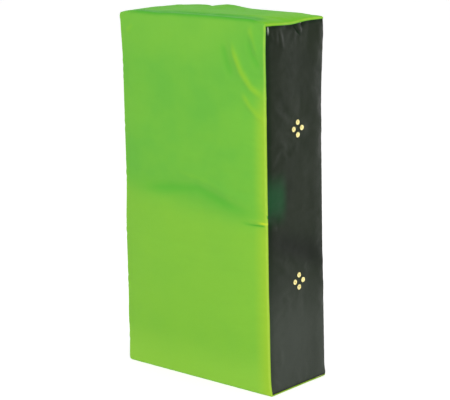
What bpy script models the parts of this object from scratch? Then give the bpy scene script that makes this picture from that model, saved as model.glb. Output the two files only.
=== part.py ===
"""Upright foam tackle pad in a sewn two-colour cover, with side vents, a zipped back and two arm grips.

Metres, +Z up. The origin is the centre of the base, the struck face looks along -Y and the grips stand
off the back at +Y. Every piece is its own object. Touching pieces keep the running gap GAP between them.
"""

import math

import bmesh
import bpy
from mathutils import Matrix, Vector

# Whole pad, measured seam to seam
WIDTH = 0.478
DEPTH = 0.216
HEIGHT = 0.914

# Cover cloth and the way it is sewn
COVER_WALL = 0.0010
GAP = 0.0003
SEAM_RADIUS = 0.006
FOLD_RADIUS = 0.013
SEAM_LIP = 0.003

# Shape that the stuffing gives the cover
FRONT_SWELL = 0.011
TOP_SWELL = 0.017
TOP_BACK_LOSS = 0.2
SIDE_SWELL = 0.003
WAIST = 0.004

# Foam layers, front to back; the core takes what the other two leave
FRONT_FOAM = 0.070
BACK_FOAM = 0.070

# Vents: groups of four brass eyelets in a diamond on each side
VENT_FROM_TOP = 0.259
VENT_FROM_BASE = 0.271
VENT_OFFSET = 0.010
VENT_SPREAD = 0.0155
EYELET_RADIUS = 0.0072
EYELET_BARREL = 0.0044
EYELET_BORE = 0.0022
EYELET_RIM = 0.0009
BACKING_WALL = 0.0010
BACKING_MARGIN = 0.0006
BACKING_CORNER = 0.004
PUNCH_LENGTH = 0.020

# Zip across the back
ZIP_HEIGHT = 0.075
ZIP_MARGIN = 0.047
TOOTH_PITCH = 0.005
TOOTH_NECK = 0.0017
TOOTH_REACH = 0.0012
TOOTH_SHOULDER = 0.0003
TOOTH_DEPTH = 0.0028
BEAD_EDGE = 0.0015
BEAD_WIDTH = 0.0022
TAPE_WIDTH = 0.016
TAPE_WALL = 0.0006
TAPE_END = 0.010
SLIDER_LENGTH = 0.026
SLIDER_WALL = 0.0013
SLIDER_FLANGE = 0.0015
SLIDER_CORNER = 0.0028
SLIDER_NOSE = 0.0034
SLIDER_CLEARANCE = 0.0012
POST_RADIUS = 0.0011
STOP_LENGTH = 0.005
STOP_WALL = 0.0009
BRIDGE_LENGTH = 0.012
BRIDGE_WIDTH = 0.003
BRIDGE_WALL = 0.0014
PULL_LENGTH = 0.034
PULL_WIDTH = 0.0095
PULL_BAR = 0.0016

# Arm grips on the back
STRAP_SPREAD = 0.230
STRAP_FROM_TOP = 0.354
STRAP_REACH = 0.300
STRAP_RISE = 0.052
WEB_WIDTH = 0.025
WEB_WALL = 0.0024
TAB_LENGTH = 0.062
HINGE_RISE = 0.014
HINGE_GAP = 0.0005
GRIP_LENGTH = 0.130
GRIP_END = 0.006
GRIP_PADDING = 0.0055
PATCH_WALL = 0.0012
PATCH_MARGIN = 0.018
PATCH_CORNER = 0.010

# Worked out from the sizes above
LAP = COVER_WALL + GAP
HALF_WIDTH = WIDTH / 2
HALF_DEPTH = DEPTH / 2
PANEL_BACK = HALF_DEPTH - LAP
PANEL_INSIDE = PANEL_BACK - COVER_WALL
PATCH_FACE = PANEL_BACK + GAP + PATCH_WALL
TAPE_PLANE = PANEL_INSIDE - GAP - TAPE_WALL / 2

# Shares of the half width, half depth and half height where the block is cut into rows of faces
ROWS_ACROSS = (0.0, 0.2, 0.4, 0.6, 0.76, 0.9)
ROWS_DEEP = (0.0, 0.45)
ROWS_HIGH = (0.0, 0.18, 0.34, 0.6, 0.74, 0.86)
FLAT_ACROSS = 0.3
FLAT_DEEP = 0.45
FLAT_HIGH = 0.6
SHARP_ANGLE = math.radians(35)
NEAR = 1e-6


def clear_scene():
    """Empties the file of everything that a new scene brings."""
    for item in list(bpy.data.objects):
        bpy.data.objects.remove(item, do_unlink=True)


def new_collection(name):
    """Adds a collection to the scene."""
    collection = bpy.data.collections.new(name)
    bpy.context.scene.collection.children.link(collection)
    return collection


def finish_material(name, colour, roughness, metallic=0.0):
    """A plain Principled surface."""
    material = bpy.data.materials.new(name)
    material.use_nodes = True
    shader = material.node_tree.nodes["Principled BSDF"]
    shader.inputs["Base Color"].default_value = (*colour, 1.0)
    shader.inputs["Roughness"].default_value = roughness
    shader.inputs["Metallic"].default_value = metallic
    material.diffuse_color = (*colour, 1.0)
    return material


clear_scene()
PARTS = new_collection("tackle_pad")
CUTTERS = new_collection("cutters")

GREEN_COVER = finish_material("green_cover", (0.19, 0.53, 0.06), 0.42)
BLACK_COVER = finish_material("black_cover", (0.045, 0.05, 0.042), 0.45)
FOAM = finish_material("foam", (0.82, 0.78, 0.62), 0.95)
BRASS = finish_material("brass", (0.80, 0.70, 0.36), 0.35, 1.0)
WEBBING = finish_material("webbing", (0.02, 0.02, 0.02), 0.85)
ZIP_PLASTIC = finish_material("zip_plastic", (0.03, 0.03, 0.03), 0.4)
ZIP_METAL = finish_material("zip_metal", (0.30, 0.30, 0.31), 0.35, 1.0)


def place(name, bm, material, parent=None, origin=(0, 0, 0)):
    """Makes an object of a bmesh whose points are given in world metres."""
    origin = Vector(origin)
    bmesh.ops.translate(bm, verts=bm.verts, vec=-origin)
    mesh = bpy.data.meshes.new(name)
    bm.to_mesh(mesh)
    bm.free()
    mesh.materials.append(material)
    mesh.shade_smooth()
    mesh.set_sharp_from_angle(angle=SHARP_ANGLE)
    item = bpy.data.objects.new(name, mesh)
    PARTS.objects.link(item)
    item.parent = parent
    item.location = origin - (world_place(parent) if parent else Vector())
    return item


def world_place(item):
    """Where an unturned object stands in the world."""
    return item.location + (world_place(item.parent) if item.parent else Vector())


def axis_empty(name, origin, parent=None):
    """An empty on a joint's axis, which carries the pieces that move together."""
    empty = bpy.data.objects.new(name, None)
    PARTS.objects.link(empty)
    empty.parent = parent
    empty.location = Vector(origin) - (world_place(parent) if parent else Vector())
    empty.empty_display_size = 0.02
    return empty


def box(low, high):
    """A bmesh box between two corners."""
    bm = bmesh.new()
    low = Vector(low)
    high = Vector(high)
    middle = Matrix.Translation((low + high) / 2)
    bmesh.ops.create_cube(bm, size=1, matrix=middle @ Matrix.Diagonal((*(high - low), 1)))
    return bm


def rounded_plate(low, high, axis, radius, segments=3):
    """A box whose four edges along one axis are rounded."""
    bm = box(low, high)
    edges = [e for e in bm.edges if abs((e.verts[0].co - e.verts[1].co)[axis]) > NEAR]
    bmesh.ops.bevel(
        bm, geom=edges, offset=radius, segments=segments, profile=0.5, affect="EDGES", material=-1
    )
    return bm


def cutter(name, bm):
    """A hidden object that another one is cut with or joined to."""
    mesh = bpy.data.meshes.new(name)
    bm.to_mesh(mesh)
    bm.free()
    item = bpy.data.objects.new(name, mesh)
    CUTTERS.objects.link(item)
    item.hide_render = True
    item.display_type = "WIRE"
    return item


def combine(item, operation, name, bm):
    """Cuts an object with a shape given in world metres, or joins the shape to it."""
    modifier = item.modifiers.new(name, "BOOLEAN")
    modifier.operation = operation
    modifier.solver = "EXACT"
    modifier.object = cutter(name, bm)


def slice_rows(bm, axis, values):
    """Cuts all faces along planes square to an axis."""
    normal = Vector((axis == 0, axis == 1, axis == 2))
    for value in values:
        geom = bm.verts[:] + bm.edges[:] + bm.faces[:]
        bmesh.ops.bisect_plane(bm, geom=geom, dist=NEAR, plane_co=normal * value, plane_no=normal)


def cut_away(bm, point, normal):
    """Removes what lies on the normal's side of a plane and closes the cut."""
    geom = bm.verts[:] + bm.edges[:] + bm.faces[:]
    cut = bmesh.ops.bisect_plane(
        bm, geom=geom, dist=NEAR, plane_co=point, plane_no=normal, clear_outer=True
    )
    rim = [e for e in cut["geom_cut"] if isinstance(e, bmesh.types.BMEdge)]
    bmesh.ops.contextual_create(bm, geom=rim)


def mirrored(shares):
    """The same shares on both sides of the middle."""
    return sorted({-share for share in shares} | set(shares))


def swell(share, flat):
    """1 over the flat middle of a stuffed face, falling to 0 where it is sewn."""
    beyond = min(1.0, max(0.0, (abs(share) - flat) / (1 - flat)))
    return 1 - beyond**3


def bag_shift(point):
    """How far the stuffing moves a point of the plain block."""
    across = point.x / HALF_WIDTH
    deep = point.y / HALF_DEPTH
    high = 2 * point.z / HEIGHT - 1
    core_front = -1 + 2 * (LAP + FRONT_FOAM) / DEPTH
    front = max(0.0, (core_front - deep) / (core_front + 1))
    pillow = swell(across, FLAT_ACROSS)
    top = (point.z / HEIGHT) ** 4 * (1 - TOP_BACK_LOSS * (1 + deep) / 2)
    return Vector(
        (
            across * (SIDE_SWELL * swell(deep, FLAT_DEEP) - WAIST) * swell(high, FLAT_HIGH),
            -FRONT_SWELL * front * pillow * swell(high, FLAT_ACROSS),
            TOP_SWELL * top * pillow,
        )
    )


def stuffed_block(low, high, seam, fold):
    """A block with soft folds along the front's top and bottom and tighter rounded edges elsewhere."""
    bm = box(low, high)
    front = [e for e in bm.edges if all(v.co.y < 0 for v in e.verts)]
    front_folds = [e for e in front if abs(e.verts[0].co.x - e.verts[1].co.x) > NEAR]
    bmesh.ops.bevel(
        bm, geom=front_folds, offset=fold, segments=3, profile=0.5, affect="EDGES", material=-1
    )
    bm.normal_update()
    sewn = [e for e in bm.edges if e.calc_face_angle(0) > math.radians(60)]
    bmesh.ops.bevel(bm, geom=sewn, offset=seam, segments=2, profile=0.5, affect="EDGES", material=-1)
    return bm


def slice_block(bm):
    """Cuts the block's faces into rows, at the same places in every nested piece."""
    slice_rows(bm, 0, [share * HALF_WIDTH for share in mirrored(ROWS_ACROSS)])
    slice_rows(bm, 1, [share * HALF_DEPTH for share in mirrored(ROWS_DEEP)])
    slice_rows(bm, 2, [(1 + share) * HEIGHT / 2 for share in mirrored(ROWS_HIGH)])


def stuff(bm):
    """Splits four-sided faces the same way in every nested piece, then moves all points by the stuffing."""
    for face in [f for f in bm.faces if len(f.verts) == 4]:
        outness = [abs(v.co.x) + abs(v.co.y) + abs(v.co.z - HEIGHT / 2) for v in face.verts]
        first = outness.index(max(outness))
        bmesh.utils.face_split(face, face.verts[first], face.verts[(first + 2) % 4])
    bmesh.ops.triangulate(bm, faces=[f for f in bm.faces if len(f.verts) > 3])
    for vert in bm.verts:
        vert.co += bag_shift(vert.co)


def cover_panel(name, inset, material, keep, cuts=()):
    """A panel of cover cloth: part of the block's skin, thickened inwards."""
    bm = stuffed_block(
        (inset - HALF_WIDTH, inset - HALF_DEPTH, inset),
        (HALF_WIDTH - inset, HALF_DEPTH - inset, HEIGHT - inset),
        SEAM_RADIUS - inset,
        FOLD_RADIUS - inset,
    )
    slice_block(bm)
    for axis, values in cuts:
        slice_rows(bm, axis, values)
    dropped = [f for f in bm.faces if not keep(f.calc_center_median())]
    bmesh.ops.delete(bm, geom=dropped, context="FACES")
    stuff(bm)
    panel = place(name, bm, material)
    thickness = panel.modifiers.new("cloth thickness", "SOLIDIFY")
    thickness.thickness = COVER_WALL
    thickness.offset = -1
    thickness.use_even_offset = True
    return panel


def cover_wrap():
    """Green cloth over the front, top and base, turned 3 mm onto the dark panels."""
    lip = SEAM_RADIUS + SEAM_LIP

    def keep(centre):
        behind = centre.y > lip - HALF_DEPTH
        return not (behind and lip < centre.z < HEIGHT - lip)

    cuts = ((1, [lip - HALF_DEPTH]), (2, [lip, HEIGHT - lip]))
    return cover_panel("cover_wrap", 0.0, GREEN_COVER, keep, cuts)


def cover_side(name, side):
    """Dark side panel, which turns the back corner and tucks under the green lips."""
    turn = HALF_WIDTH - SEAM_RADIUS - SEAM_LIP

    def keep(centre):
        outward = side * centre.x
        flat = outward > HALF_WIDTH - LAP - NEAR
        corner = outward > turn and centre.y > HALF_DEPTH - SEAM_RADIUS
        return (flat or corner) and SEAM_RADIUS < centre.z < HEIGHT - SEAM_RADIUS

    return cover_panel(name, LAP, BLACK_COVER, keep, ((0, [side * turn]),))


def cover_back(name, low, high):
    """Dark back panel between two heights, sewn to both side panels."""
    edge = HALF_WIDTH - SEAM_RADIUS - SEAM_LIP - GAP

    def keep(centre):
        return centre.y > PANEL_BACK - NEAR and abs(centre.x) < edge and low < centre.z < high

    return cover_panel(name, LAP, BLACK_COVER, keep, ((0, [-edge, edge]), (2, [low, high])))


def foam_layer(name, front, back):
    """One glued layer of the foam block, between two planes across its depth."""
    bm = stuffed_block(
        (2 * LAP - HALF_WIDTH, LAP - HALF_DEPTH, LAP),
        (HALF_WIDTH - 2 * LAP, HALF_DEPTH - 2 * LAP, HEIGHT - LAP),
        SEAM_RADIUS - LAP,
        FOLD_RADIUS - LAP,
    )
    if front is not None:
        cut_away(bm, Vector((0, front, 0)), Vector((0, -1, 0)))
    if back is not None:
        cut_away(bm, Vector((0, back, 0)), Vector((0, 1, 0)))
    slice_block(bm)
    stuff(bm)
    return place(name, bm, FOAM)


def foam_block():
    """Three layers, relieved where the vents and the zip press into them."""
    front_glue = LAP - HALF_DEPTH + FRONT_FOAM
    back_glue = HALF_DEPTH - 2 * LAP - BACK_FOAM
    front = foam_layer("foam_front", None, front_glue - GAP / 2)
    core = foam_layer("foam_core", front_glue + GAP / 2, back_glue - GAP / 2)
    back = foam_layer("foam_back", back_glue + GAP / 2, None)
    for layer in (front, core, back):
        for index, (side, height) in enumerate(vent_groups()):
            name = f"{layer.name}_vent_relief_{index}"
            combine(layer, "DIFFERENCE", name, vent_relief(side, height))
    combine(back, "DIFFERENCE", "foam_tape_relief", tape_relief())
    combine(back, "DIFFERENCE", "foam_slider_relief", slider_relief())


def vent_groups():
    """Side and height of each group of four eyelets."""
    heights = (HEIGHT - VENT_FROM_TOP, VENT_FROM_BASE)
    return [(side, height) for side in (1, -1) for height in heights]


def panel_side():
    """Distance from the middle to the outer face of a side panel, over its flat middle."""
    inner = HALF_WIDTH - LAP
    return inner + inner / HALF_WIDTH * (SIDE_SWELL - WAIST)


def vent_places(height):
    """Depth and height of the four eyelets of a group."""
    turns = [math.radians(90 * index) for index in range(4)]
    return [
        (VENT_OFFSET + VENT_SPREAD * math.sin(turn), height + VENT_SPREAD * math.cos(turn))
        for turn in turns
    ]


def backing_half():
    """Half the side of the square cloth patch behind a group of eyelets."""
    return VENT_SPREAD + EYELET_RADIUS + BACKING_MARGIN


def vent_stack():
    """Distances inwards from a side panel's outer face to the faces behind it."""
    backing_outer = COVER_WALL + GAP
    backing_inner = backing_outer + BACKING_WALL
    rim_outer = backing_inner + GAP
    return backing_outer, backing_inner, rim_outer, rim_outer + EYELET_RIM


def side_box(side, near, far, half, height, grow=0.0):
    """A box let into a side, between two distances inwards from the side panel's outer face."""
    xs = sorted((side * (panel_side() - near), side * (panel_side() - far)))
    reach = half + grow
    return (
        (xs[0], VENT_OFFSET - reach, height - reach),
        (xs[1], VENT_OFFSET + reach, height + reach),
    )


def vent_relief(side, height):
    """Space that a group's backing and rims press into the foam."""
    low, high = side_box(side, 0.0, vent_stack()[3] + GAP, backing_half(), height, GAP)
    return box(low, high)


def eyelet_mesh():
    """A clenched brass eyelet, turned about X, with its outer rim at the positive end."""
    rim_inner = vent_stack()[2]
    profile = (
        (EYELET_BORE, -vent_stack()[3]),
        (EYELET_RADIUS, -vent_stack()[3]),
        (EYELET_RADIUS, -rim_inner),
        (EYELET_BARREL, -rim_inner),
        (EYELET_BARREL, GAP),
        (EYELET_RADIUS, GAP),
        (EYELET_RADIUS - EYELET_RIM, GAP + EYELET_RIM),
        (EYELET_BORE, GAP + EYELET_RIM / 2),
    )
    bm = bmesh.new()
    points = [bm.verts.new((x, radius, 0)) for radius, x in profile]
    rings = [bm.edges.new((points[i - 1], points[i])) for i in range(len(points))]
    bmesh.ops.spin(
        bm,
        geom=points + rings,
        cent=(0, 0, 0),
        axis=(1, 0, 0),
        angle=math.tau,
        steps=12,
        use_merge=True,
    )
    bmesh.ops.recalc_face_normals(bm, faces=bm.faces)
    mesh = bpy.data.meshes.new("eyelet")
    bm.to_mesh(mesh)
    bm.free()
    mesh.materials.append(BRASS)
    mesh.shade_smooth()
    mesh.set_sharp_from_angle(angle=SHARP_ANGLE)
    return mesh


def hole_cutter(side, height):
    """Four round punches through a side panel and its backing."""
    bm = bmesh.new()
    for depth, rise in vent_places(height):
        spot = Matrix.Translation((side * panel_side(), depth, rise))
        bmesh.ops.create_cone(
            bm,
            cap_ends=True,
            segments=12,
            radius1=EYELET_BARREL + GAP,
            radius2=EYELET_BARREL + GAP,
            depth=PUNCH_LENGTH,
            matrix=spot @ Matrix.Rotation(math.radians(90), 4, "Y"),
        )
    return bm


def vents(panels):
    """Punches both side panels and fits backings and eyelets."""
    mesh = eyelet_mesh()
    names = {1: "right", -1: "left"}
    for index, (side, height) in enumerate(vent_groups()):
        group = f"{names[side]}_{'upper' if index % 2 == 0 else 'lower'}"
        combine(panels[side], "DIFFERENCE", f"punch_{group}", hole_cutter(side, height))
        low, high = side_box(side, *vent_stack()[:2], backing_half(), height)
        patch = rounded_plate(low, high, 0, BACKING_CORNER)
        backing = place(f"vent_backing_{group}", patch, BLACK_COVER)
        combine(backing, "DIFFERENCE", f"backing_punch_{group}", hole_cutter(side, height))
        for number, (depth, rise) in enumerate(vent_places(height), start=1):
            eyelet = bpy.data.objects.new(f"vent_{group}_{number}", mesh)
            PARTS.objects.link(eyelet)
            eyelet.location = (side * panel_side(), depth, rise)
            eyelet.rotation_euler.z = 0 if side > 0 else math.pi


def chain_ends():
    """Where the teeth start and end across the back, a whole number of pitches apart."""
    teeth = int((WIDTH - 2 * ZIP_MARGIN) / TOOTH_PITCH)
    return -teeth * TOOTH_PITCH / 2, teeth * TOOTH_PITCH / 2


def post_place():
    """Where the slider's post stands, just past the last tooth of the closed zip."""
    return chain_ends()[1] + GAP + POST_RADIUS


def slider_ends():
    """Tail and nose of the slider of the closed zip."""
    nose = post_place() + SLIDER_NOSE
    return nose - SLIDER_LENGTH, nose


def stop_spans():
    """Where the stops sit: the lower end's first, then the slider end's."""
    start = chain_ends()[0] - GAP
    end = slider_ends()[1] + GAP
    return (start - STOP_LENGTH, start), (end, end + STOP_LENGTH)


def stringer_ends():
    """Ends of the tapes, past both stops."""
    first, last = stop_spans()
    return first[0] - TAPE_END, last[1] + TAPE_END


def slider_half():
    """Half the slider's width, over its flanges."""
    return BEAD_EDGE + BEAD_WIDTH + GAP + SLIDER_FLANGE


def slider_channel():
    """Half the height of the channel between the slider's plates."""
    return TOOTH_DEPTH / 2 + GAP


def window_half():
    """Half the slot between the back panels, wide enough for the slider to pass."""
    return slider_half() + SLIDER_CLEARANCE


def tape_relief():
    """Shallow groove that the tapes press into the foam."""
    reach = BEAD_EDGE + BEAD_WIDTH + TAPE_WIDTH + GAP
    front = TAPE_PLANE - TAPE_WALL / 2 - GAP
    return box((-WIDTH, front, ZIP_HEIGHT - reach), (WIDTH, DEPTH, ZIP_HEIGHT + reach))


def slider_relief():
    """Deeper groove for the teeth and the inner half of the slider."""
    reach = slider_half() + GAP
    front = TAPE_PLANE - slider_channel() - SLIDER_WALL - GAP
    return box((-WIDTH, front, ZIP_HEIGHT - reach), (WIDTH, DEPTH, ZIP_HEIGHT + reach))


def tooth_head():
    """Width of a tooth's head, which leaves GAP beside the neck of its neighbour."""
    return TOOTH_PITCH - TOOTH_NECK - 2 * GAP


def stringer(name, side):
    """Half a zip: a beaded tape with a row of flared teeth that reach between the other half's."""
    start, end = chain_ends()
    count = round((end - start) / TOOTH_PITCH)
    left, right = stringer_ends()
    bead_low = (left, TAPE_PLANE - TOOTH_DEPTH / 2, BEAD_EDGE)
    bead_high = (right, TAPE_PLANE + TOOTH_DEPTH / 2, BEAD_EDGE + BEAD_WIDTH)
    bm = box(bead_low, bead_high)
    lead = 0.25 if side > 0 else 0.75
    centres = [start + (index + lead) * TOOTH_PITCH for index in range(count)]
    sides = [x for centre in centres for x in (centre - TOOTH_NECK / 2, centre + TOOTH_NECK / 2)]
    slice_rows(bm, 0, sides)
    bm.normal_update()
    roots = []
    for face in bm.faces:
        x = face.calc_center_median().x
        nearest = min(abs(x - centre) for centre in centres)
        if face.normal.z < -0.5 and nearest < TOOTH_NECK / 4:
            roots.append(face)
    necks = bmesh.ops.extrude_discrete_faces(bm, faces=roots)["faces"]
    for face in necks:
        bmesh.ops.translate(bm, verts=face.verts, vec=(0, 0, TOOTH_SHOULDER - BEAD_EDGE))
    heads = bmesh.ops.extrude_discrete_faces(bm, faces=necks)["faces"]
    for face in heads:
        middle = face.calc_center_median()
        bmesh.ops.translate(bm, verts=face.verts, vec=(0, 0, -TOOTH_SHOULDER - TOOTH_REACH))
        bmesh.ops.scale(
            bm,
            verts=face.verts,
            vec=(tooth_head() / TOOTH_NECK, 1, 1),
            space=Matrix.Translation(-middle),
        )
    add_tape(bm)
    if side < 0:
        bmesh.ops.scale(bm, verts=bm.verts, vec=(1, 1, -1))
        bmesh.ops.reverse_faces(bm, faces=bm.faces)
    bmesh.ops.translate(bm, verts=bm.verts, vec=(0, 0, ZIP_HEIGHT))
    return place(name, bm, ZIP_PLASTIC)


def add_tape(bm):
    """Draws the tape out of the bead's far face."""
    bm.normal_update()
    far = BEAD_EDGE + BEAD_WIDTH - NEAR
    faces = [f for f in bm.faces if f.normal.z > 0.5 and f.calc_center_median().z > far]
    for rise, squeeze in ((0.0, TAPE_WALL / TOOTH_DEPTH), (TAPE_WIDTH, 1.0)):
        drawn = bmesh.ops.extrude_face_region(bm, geom=faces)["geom"]
        bmesh.ops.delete(bm, geom=faces, context="FACES")
        verts = [g for g in drawn if isinstance(g, bmesh.types.BMVert)]
        faces = [g for g in drawn if isinstance(g, bmesh.types.BMFace)]
        bmesh.ops.scale(
            bm, verts=verts, vec=(1, squeeze, 1), space=Matrix.Translation((0, -TAPE_PLANE, 0))
        )
        bmesh.ops.translate(bm, verts=verts, vec=(0, 0, rise))


def zip_stop(name, span, sides):
    """A crimped stop round one bead, or round both at the closed end."""
    reach = BEAD_EDGE + BEAD_WIDTH + GAP + STOP_WALL
    half_depth = TOOTH_DEPTH / 2 + GAP + STOP_WALL
    inner = POST_RADIUS / 2
    low = ZIP_HEIGHT - reach if -1 in sides else ZIP_HEIGHT + inner
    high = ZIP_HEIGHT + reach if 1 in sides else ZIP_HEIGHT - inner
    depths = (TAPE_PLANE - half_depth, TAPE_PLANE + half_depth)
    stop = place(name, box((span[0], depths[0], low), (span[1], depths[1], high)), ZIP_METAL)
    for side in sides:
        bead_end = BEAD_EDGE + BEAD_WIDTH + GAP
        bead = sorted((ZIP_HEIGHT + side * (BEAD_EDGE - GAP), ZIP_HEIGHT + side * bead_end))
        slot = sorted((ZIP_HEIGHT + side * BEAD_EDGE, ZIP_HEIGHT + side * 2 * reach))
        bead_depth = TOOTH_DEPTH / 2 + GAP
        slot_depth = TAPE_WALL / 2 + GAP
        for label, heights, depth in (("bead", bead, bead_depth), ("slot", slot, slot_depth)):
            space = box(
                (span[0] - STOP_LENGTH, TAPE_PLANE - depth, heights[0]),
                (span[1] + STOP_LENGTH, TAPE_PLANE + depth, heights[1]),
            )
            combine(stop, "DIFFERENCE", f"{name}_{label}_{side}", space)
    return stop


def bar_height():
    """Height of the pull's cross bar above the slider's outer plate, enough for its corners to turn."""
    return PULL_BAR * math.sqrt(0.5) + GAP


def zip_slider():
    """Two plates joined by a post at the nose, with flanges round the beads and a bridge for the pull."""
    tail, nose = slider_ends()
    half = slider_half()
    inner = slider_channel()
    outer = inner + SLIDER_WALL
    slot = TAPE_WALL / 2 + GAP
    middle = Vector((0, TAPE_PLANE, ZIP_HEIGHT))
    corner = SLIDER_CORNER

    def at(x, y, z):
        return middle + Vector((x, y, z))

    plate = rounded_plate(at(tail, inner, -half), at(nose, outer, half), 1, corner)
    slider = place("zip_slider", plate, ZIP_METAL, origin=at(post_place(), 0, 0))
    back_plate = rounded_plate(at(tail, -outer, -half), at(nose, -inner, half), 1, corner)
    joined = [back_plate]
    post = bmesh.new()
    bmesh.ops.create_cone(
        post,
        cap_ends=True,
        segments=10,
        radius1=POST_RADIUS,
        radius2=POST_RADIUS,
        depth=2 * inner + SLIDER_WALL,
        matrix=Matrix.Translation(at(post_place(), 0, 0)) @ Matrix.Rotation(math.radians(90), 4, "X"),
    )
    joined.append(post)
    for face in (1, -1):
        for side in (1, -1):
            depths = sorted((face * slot, face * (inner + SLIDER_WALL / 2)))
            heights = sorted((side * (half - SLIDER_FLANGE), side * half))
            joined.append(
                box(at(tail + corner, depths[0], heights[0]), at(nose - corner, depths[1], heights[1]))
            )
    joined.extend(slider_bridge(at, outer))
    combine_all(slider, "zip_slider", joined)
    return slider


def slider_bridge(at, outer):
    """The two legs and the rounded beam of a low arch over the pull's cross bar."""
    centre = bridge_centre()
    left = centre - BRIDGE_LENGTH / 2
    right = centre + BRIDGE_LENGTH / 2
    ceiling = outer + 2 * bar_height() + GAP
    root = outer - SLIDER_WALL / 2
    half = BRIDGE_WIDTH / 2
    beam = rounded_plate(
        at(left, ceiling, -half), at(right, ceiling + 2 * BRIDGE_WALL, half), 2, BRIDGE_WALL
    )
    cut_away(beam, at(0, ceiling + BRIDGE_WALL, 0), Vector((0, -1, 0)))
    bmesh.ops.translate(beam, verts=beam.verts, vec=(0, -BRIDGE_WALL, 0))
    legs = [
        box(at(end, root, -half), at(end + BRIDGE_WALL, ceiling + BRIDGE_WALL / 4, half))
        for end in (left, right - BRIDGE_WALL)
    ]
    return [beam, *legs]


def combine_all(item, name, shapes):
    """Joins several shapes to an object, one after another."""
    for index, shape in enumerate(shapes):
        combine(item, "UNION", f"{name}_joined_{index}", shape)


def bridge_centre():
    """Where the pull hangs along the slider."""
    tail, nose = slider_ends()
    return (tail + nose) / 2


def zip_pull(slider):
    """Flat tab with a square eye round the bridge, which turns on its cross bar."""
    axis = Vector(
        (
            bridge_centre(),
            TAPE_PLANE + slider_channel() + SLIDER_WALL + bar_height(),
            ZIP_HEIGHT,
        )
    )
    half = PULL_BAR / 2
    eye_half = BRIDGE_WIDTH / 2 + 2 * GAP
    eye_length = BRIDGE_LENGTH / 2 + 2 * GAP
    low = axis + Vector((half - PULL_LENGTH, -half, -PULL_WIDTH / 2))
    high = axis + Vector((half, half, PULL_WIDTH / 2))
    pull = place("zip_pull", rounded_plate(low, high, 1, PULL_BAR), ZIP_METAL, slider, axis)
    eye = box(
        axis + Vector((-half - eye_length, -PULL_BAR, -eye_half)),
        axis + Vector((-half, PULL_BAR, eye_half)),
    )
    combine(pull, "DIFFERENCE", "zip_pull_eye", eye)


def zip_fastener():
    """The whole zip, closed, with its slider at the +X end."""
    stringer("zip_stringer_upper", 1)
    stringer("zip_stringer_lower", -1)
    zip_pull(zip_slider())
    closed, open_end = stop_spans()
    zip_stop("zip_stop_bottom", closed, (1, -1))
    zip_stop("zip_stop_upper", open_end, (1,))
    zip_stop("zip_stop_lower", open_end, (-1,))


def strap_middle():
    """Height of the middle of the grips."""
    return HEIGHT - STRAP_FROM_TOP


def strap_rise(distance):
    """How far the middle of the webbing stands off its sewn plane, by distance from the grip's middle."""
    foot = STRAP_REACH / 2
    shoulder = GRIP_LENGTH / 2 + GRIP_END
    share = min(1.0, max(0.0, (foot - abs(distance)) / (foot - shoulder)))
    return STRAP_RISE * share * share * (3 - 2 * share)


def hinge_distance():
    """Distance from the grip's middle to the height where the webbing crosses the swing axis."""
    foot = STRAP_REACH / 2
    shoulder = GRIP_LENGTH / 2 + GRIP_END
    share = 0.5 - math.sin(math.asin(1 - 2 * HINGE_RISE / STRAP_RISE) / 3)
    return foot - share * (foot - shoulder)


def web_plane():
    """Depth of the middle of the webbing where it is sewn down."""
    return PATCH_FACE + GAP + WEB_WALL / 2


def webbing(across):
    """A whole strap as one ribbon, from the end of its upper tab to the end of its lower one."""
    foot = STRAP_REACH / 2
    shoulder = GRIP_LENGTH / 2 + GRIP_END
    steps = 10
    curve = [foot + (shoulder - foot) * index / steps for index in range(steps + 1)]
    distances = [foot + TAB_LENGTH] + curve + [-d for d in reversed(curve)] + [-foot - TAB_LENGTH]
    bm = bmesh.new()
    left = across - WEB_WIDTH / 2
    line = [bm.verts.new((left, web_plane() + strap_rise(d), strap_middle() + d)) for d in distances]
    edges = [bm.edges.new(pair) for pair in zip(line, line[1:])]
    drawn = bmesh.ops.extrude_edge_only(bm, edges=edges)["geom"]
    bmesh.ops.translate(
        bm, verts=[g for g in drawn if isinstance(g, bmesh.types.BMVert)], vec=(WEB_WIDTH, 0, 0)
    )
    bmesh.ops.recalc_face_normals(bm, faces=bm.faces)
    bm.normal_update()
    if sum(f.normal.y for f in bm.faces) < 0:
        bmesh.ops.reverse_faces(bm, faces=bm.faces)
    for vert in bm.verts:
        vert.co -= vert.normal * WEB_WALL / 2
    bmesh.ops.solidify(bm, geom=bm.faces[:], thickness=-WEB_WALL)
    bmesh.ops.recalc_face_normals(bm, faces=bm.faces)
    return bm


def strap(name, across):
    """One arm grip: two patches, two sewn tabs, and the free loop with its padded sleeve."""
    up = Vector((0, 0, 1))
    cut = hinge_distance()
    for label, side in (("upper", 1), ("lower", -1)):
        foot = strap_middle() + side * STRAP_REACH / 2
        heights = sorted((foot - side * PATCH_MARGIN, foot + side * (TAB_LENGTH + PATCH_MARGIN)))
        reach = WEB_WIDTH / 2 + PATCH_MARGIN
        patch = rounded_plate(
            (across - reach, PANEL_BACK + GAP, heights[0]),
            (across + reach, PATCH_FACE, heights[1]),
            1,
            PATCH_CORNER,
        )
        place(f"{name}_patch_{label}", patch, BLACK_COVER)
        tab = webbing(across)
        plane = Vector((0, 0, strap_middle() + side * (cut + HINGE_GAP / 2)))
        cut_away(tab, plane, -side * up)
        place(f"{name}_tab_{label}", tab, WEBBING)
    axis = axis_empty(f"{name}_axis", (across, web_plane() + HINGE_RISE, strap_middle()))
    loop = webbing(across)
    for side in (1, -1):
        plane = Vector((0, 0, strap_middle() + side * (cut - HINGE_GAP / 2)))
        cut_away(loop, plane, side * up)
    place(f"{name}_loop", loop, WEBBING, axis, world_place(axis))
    grip(name, across, axis)


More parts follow.
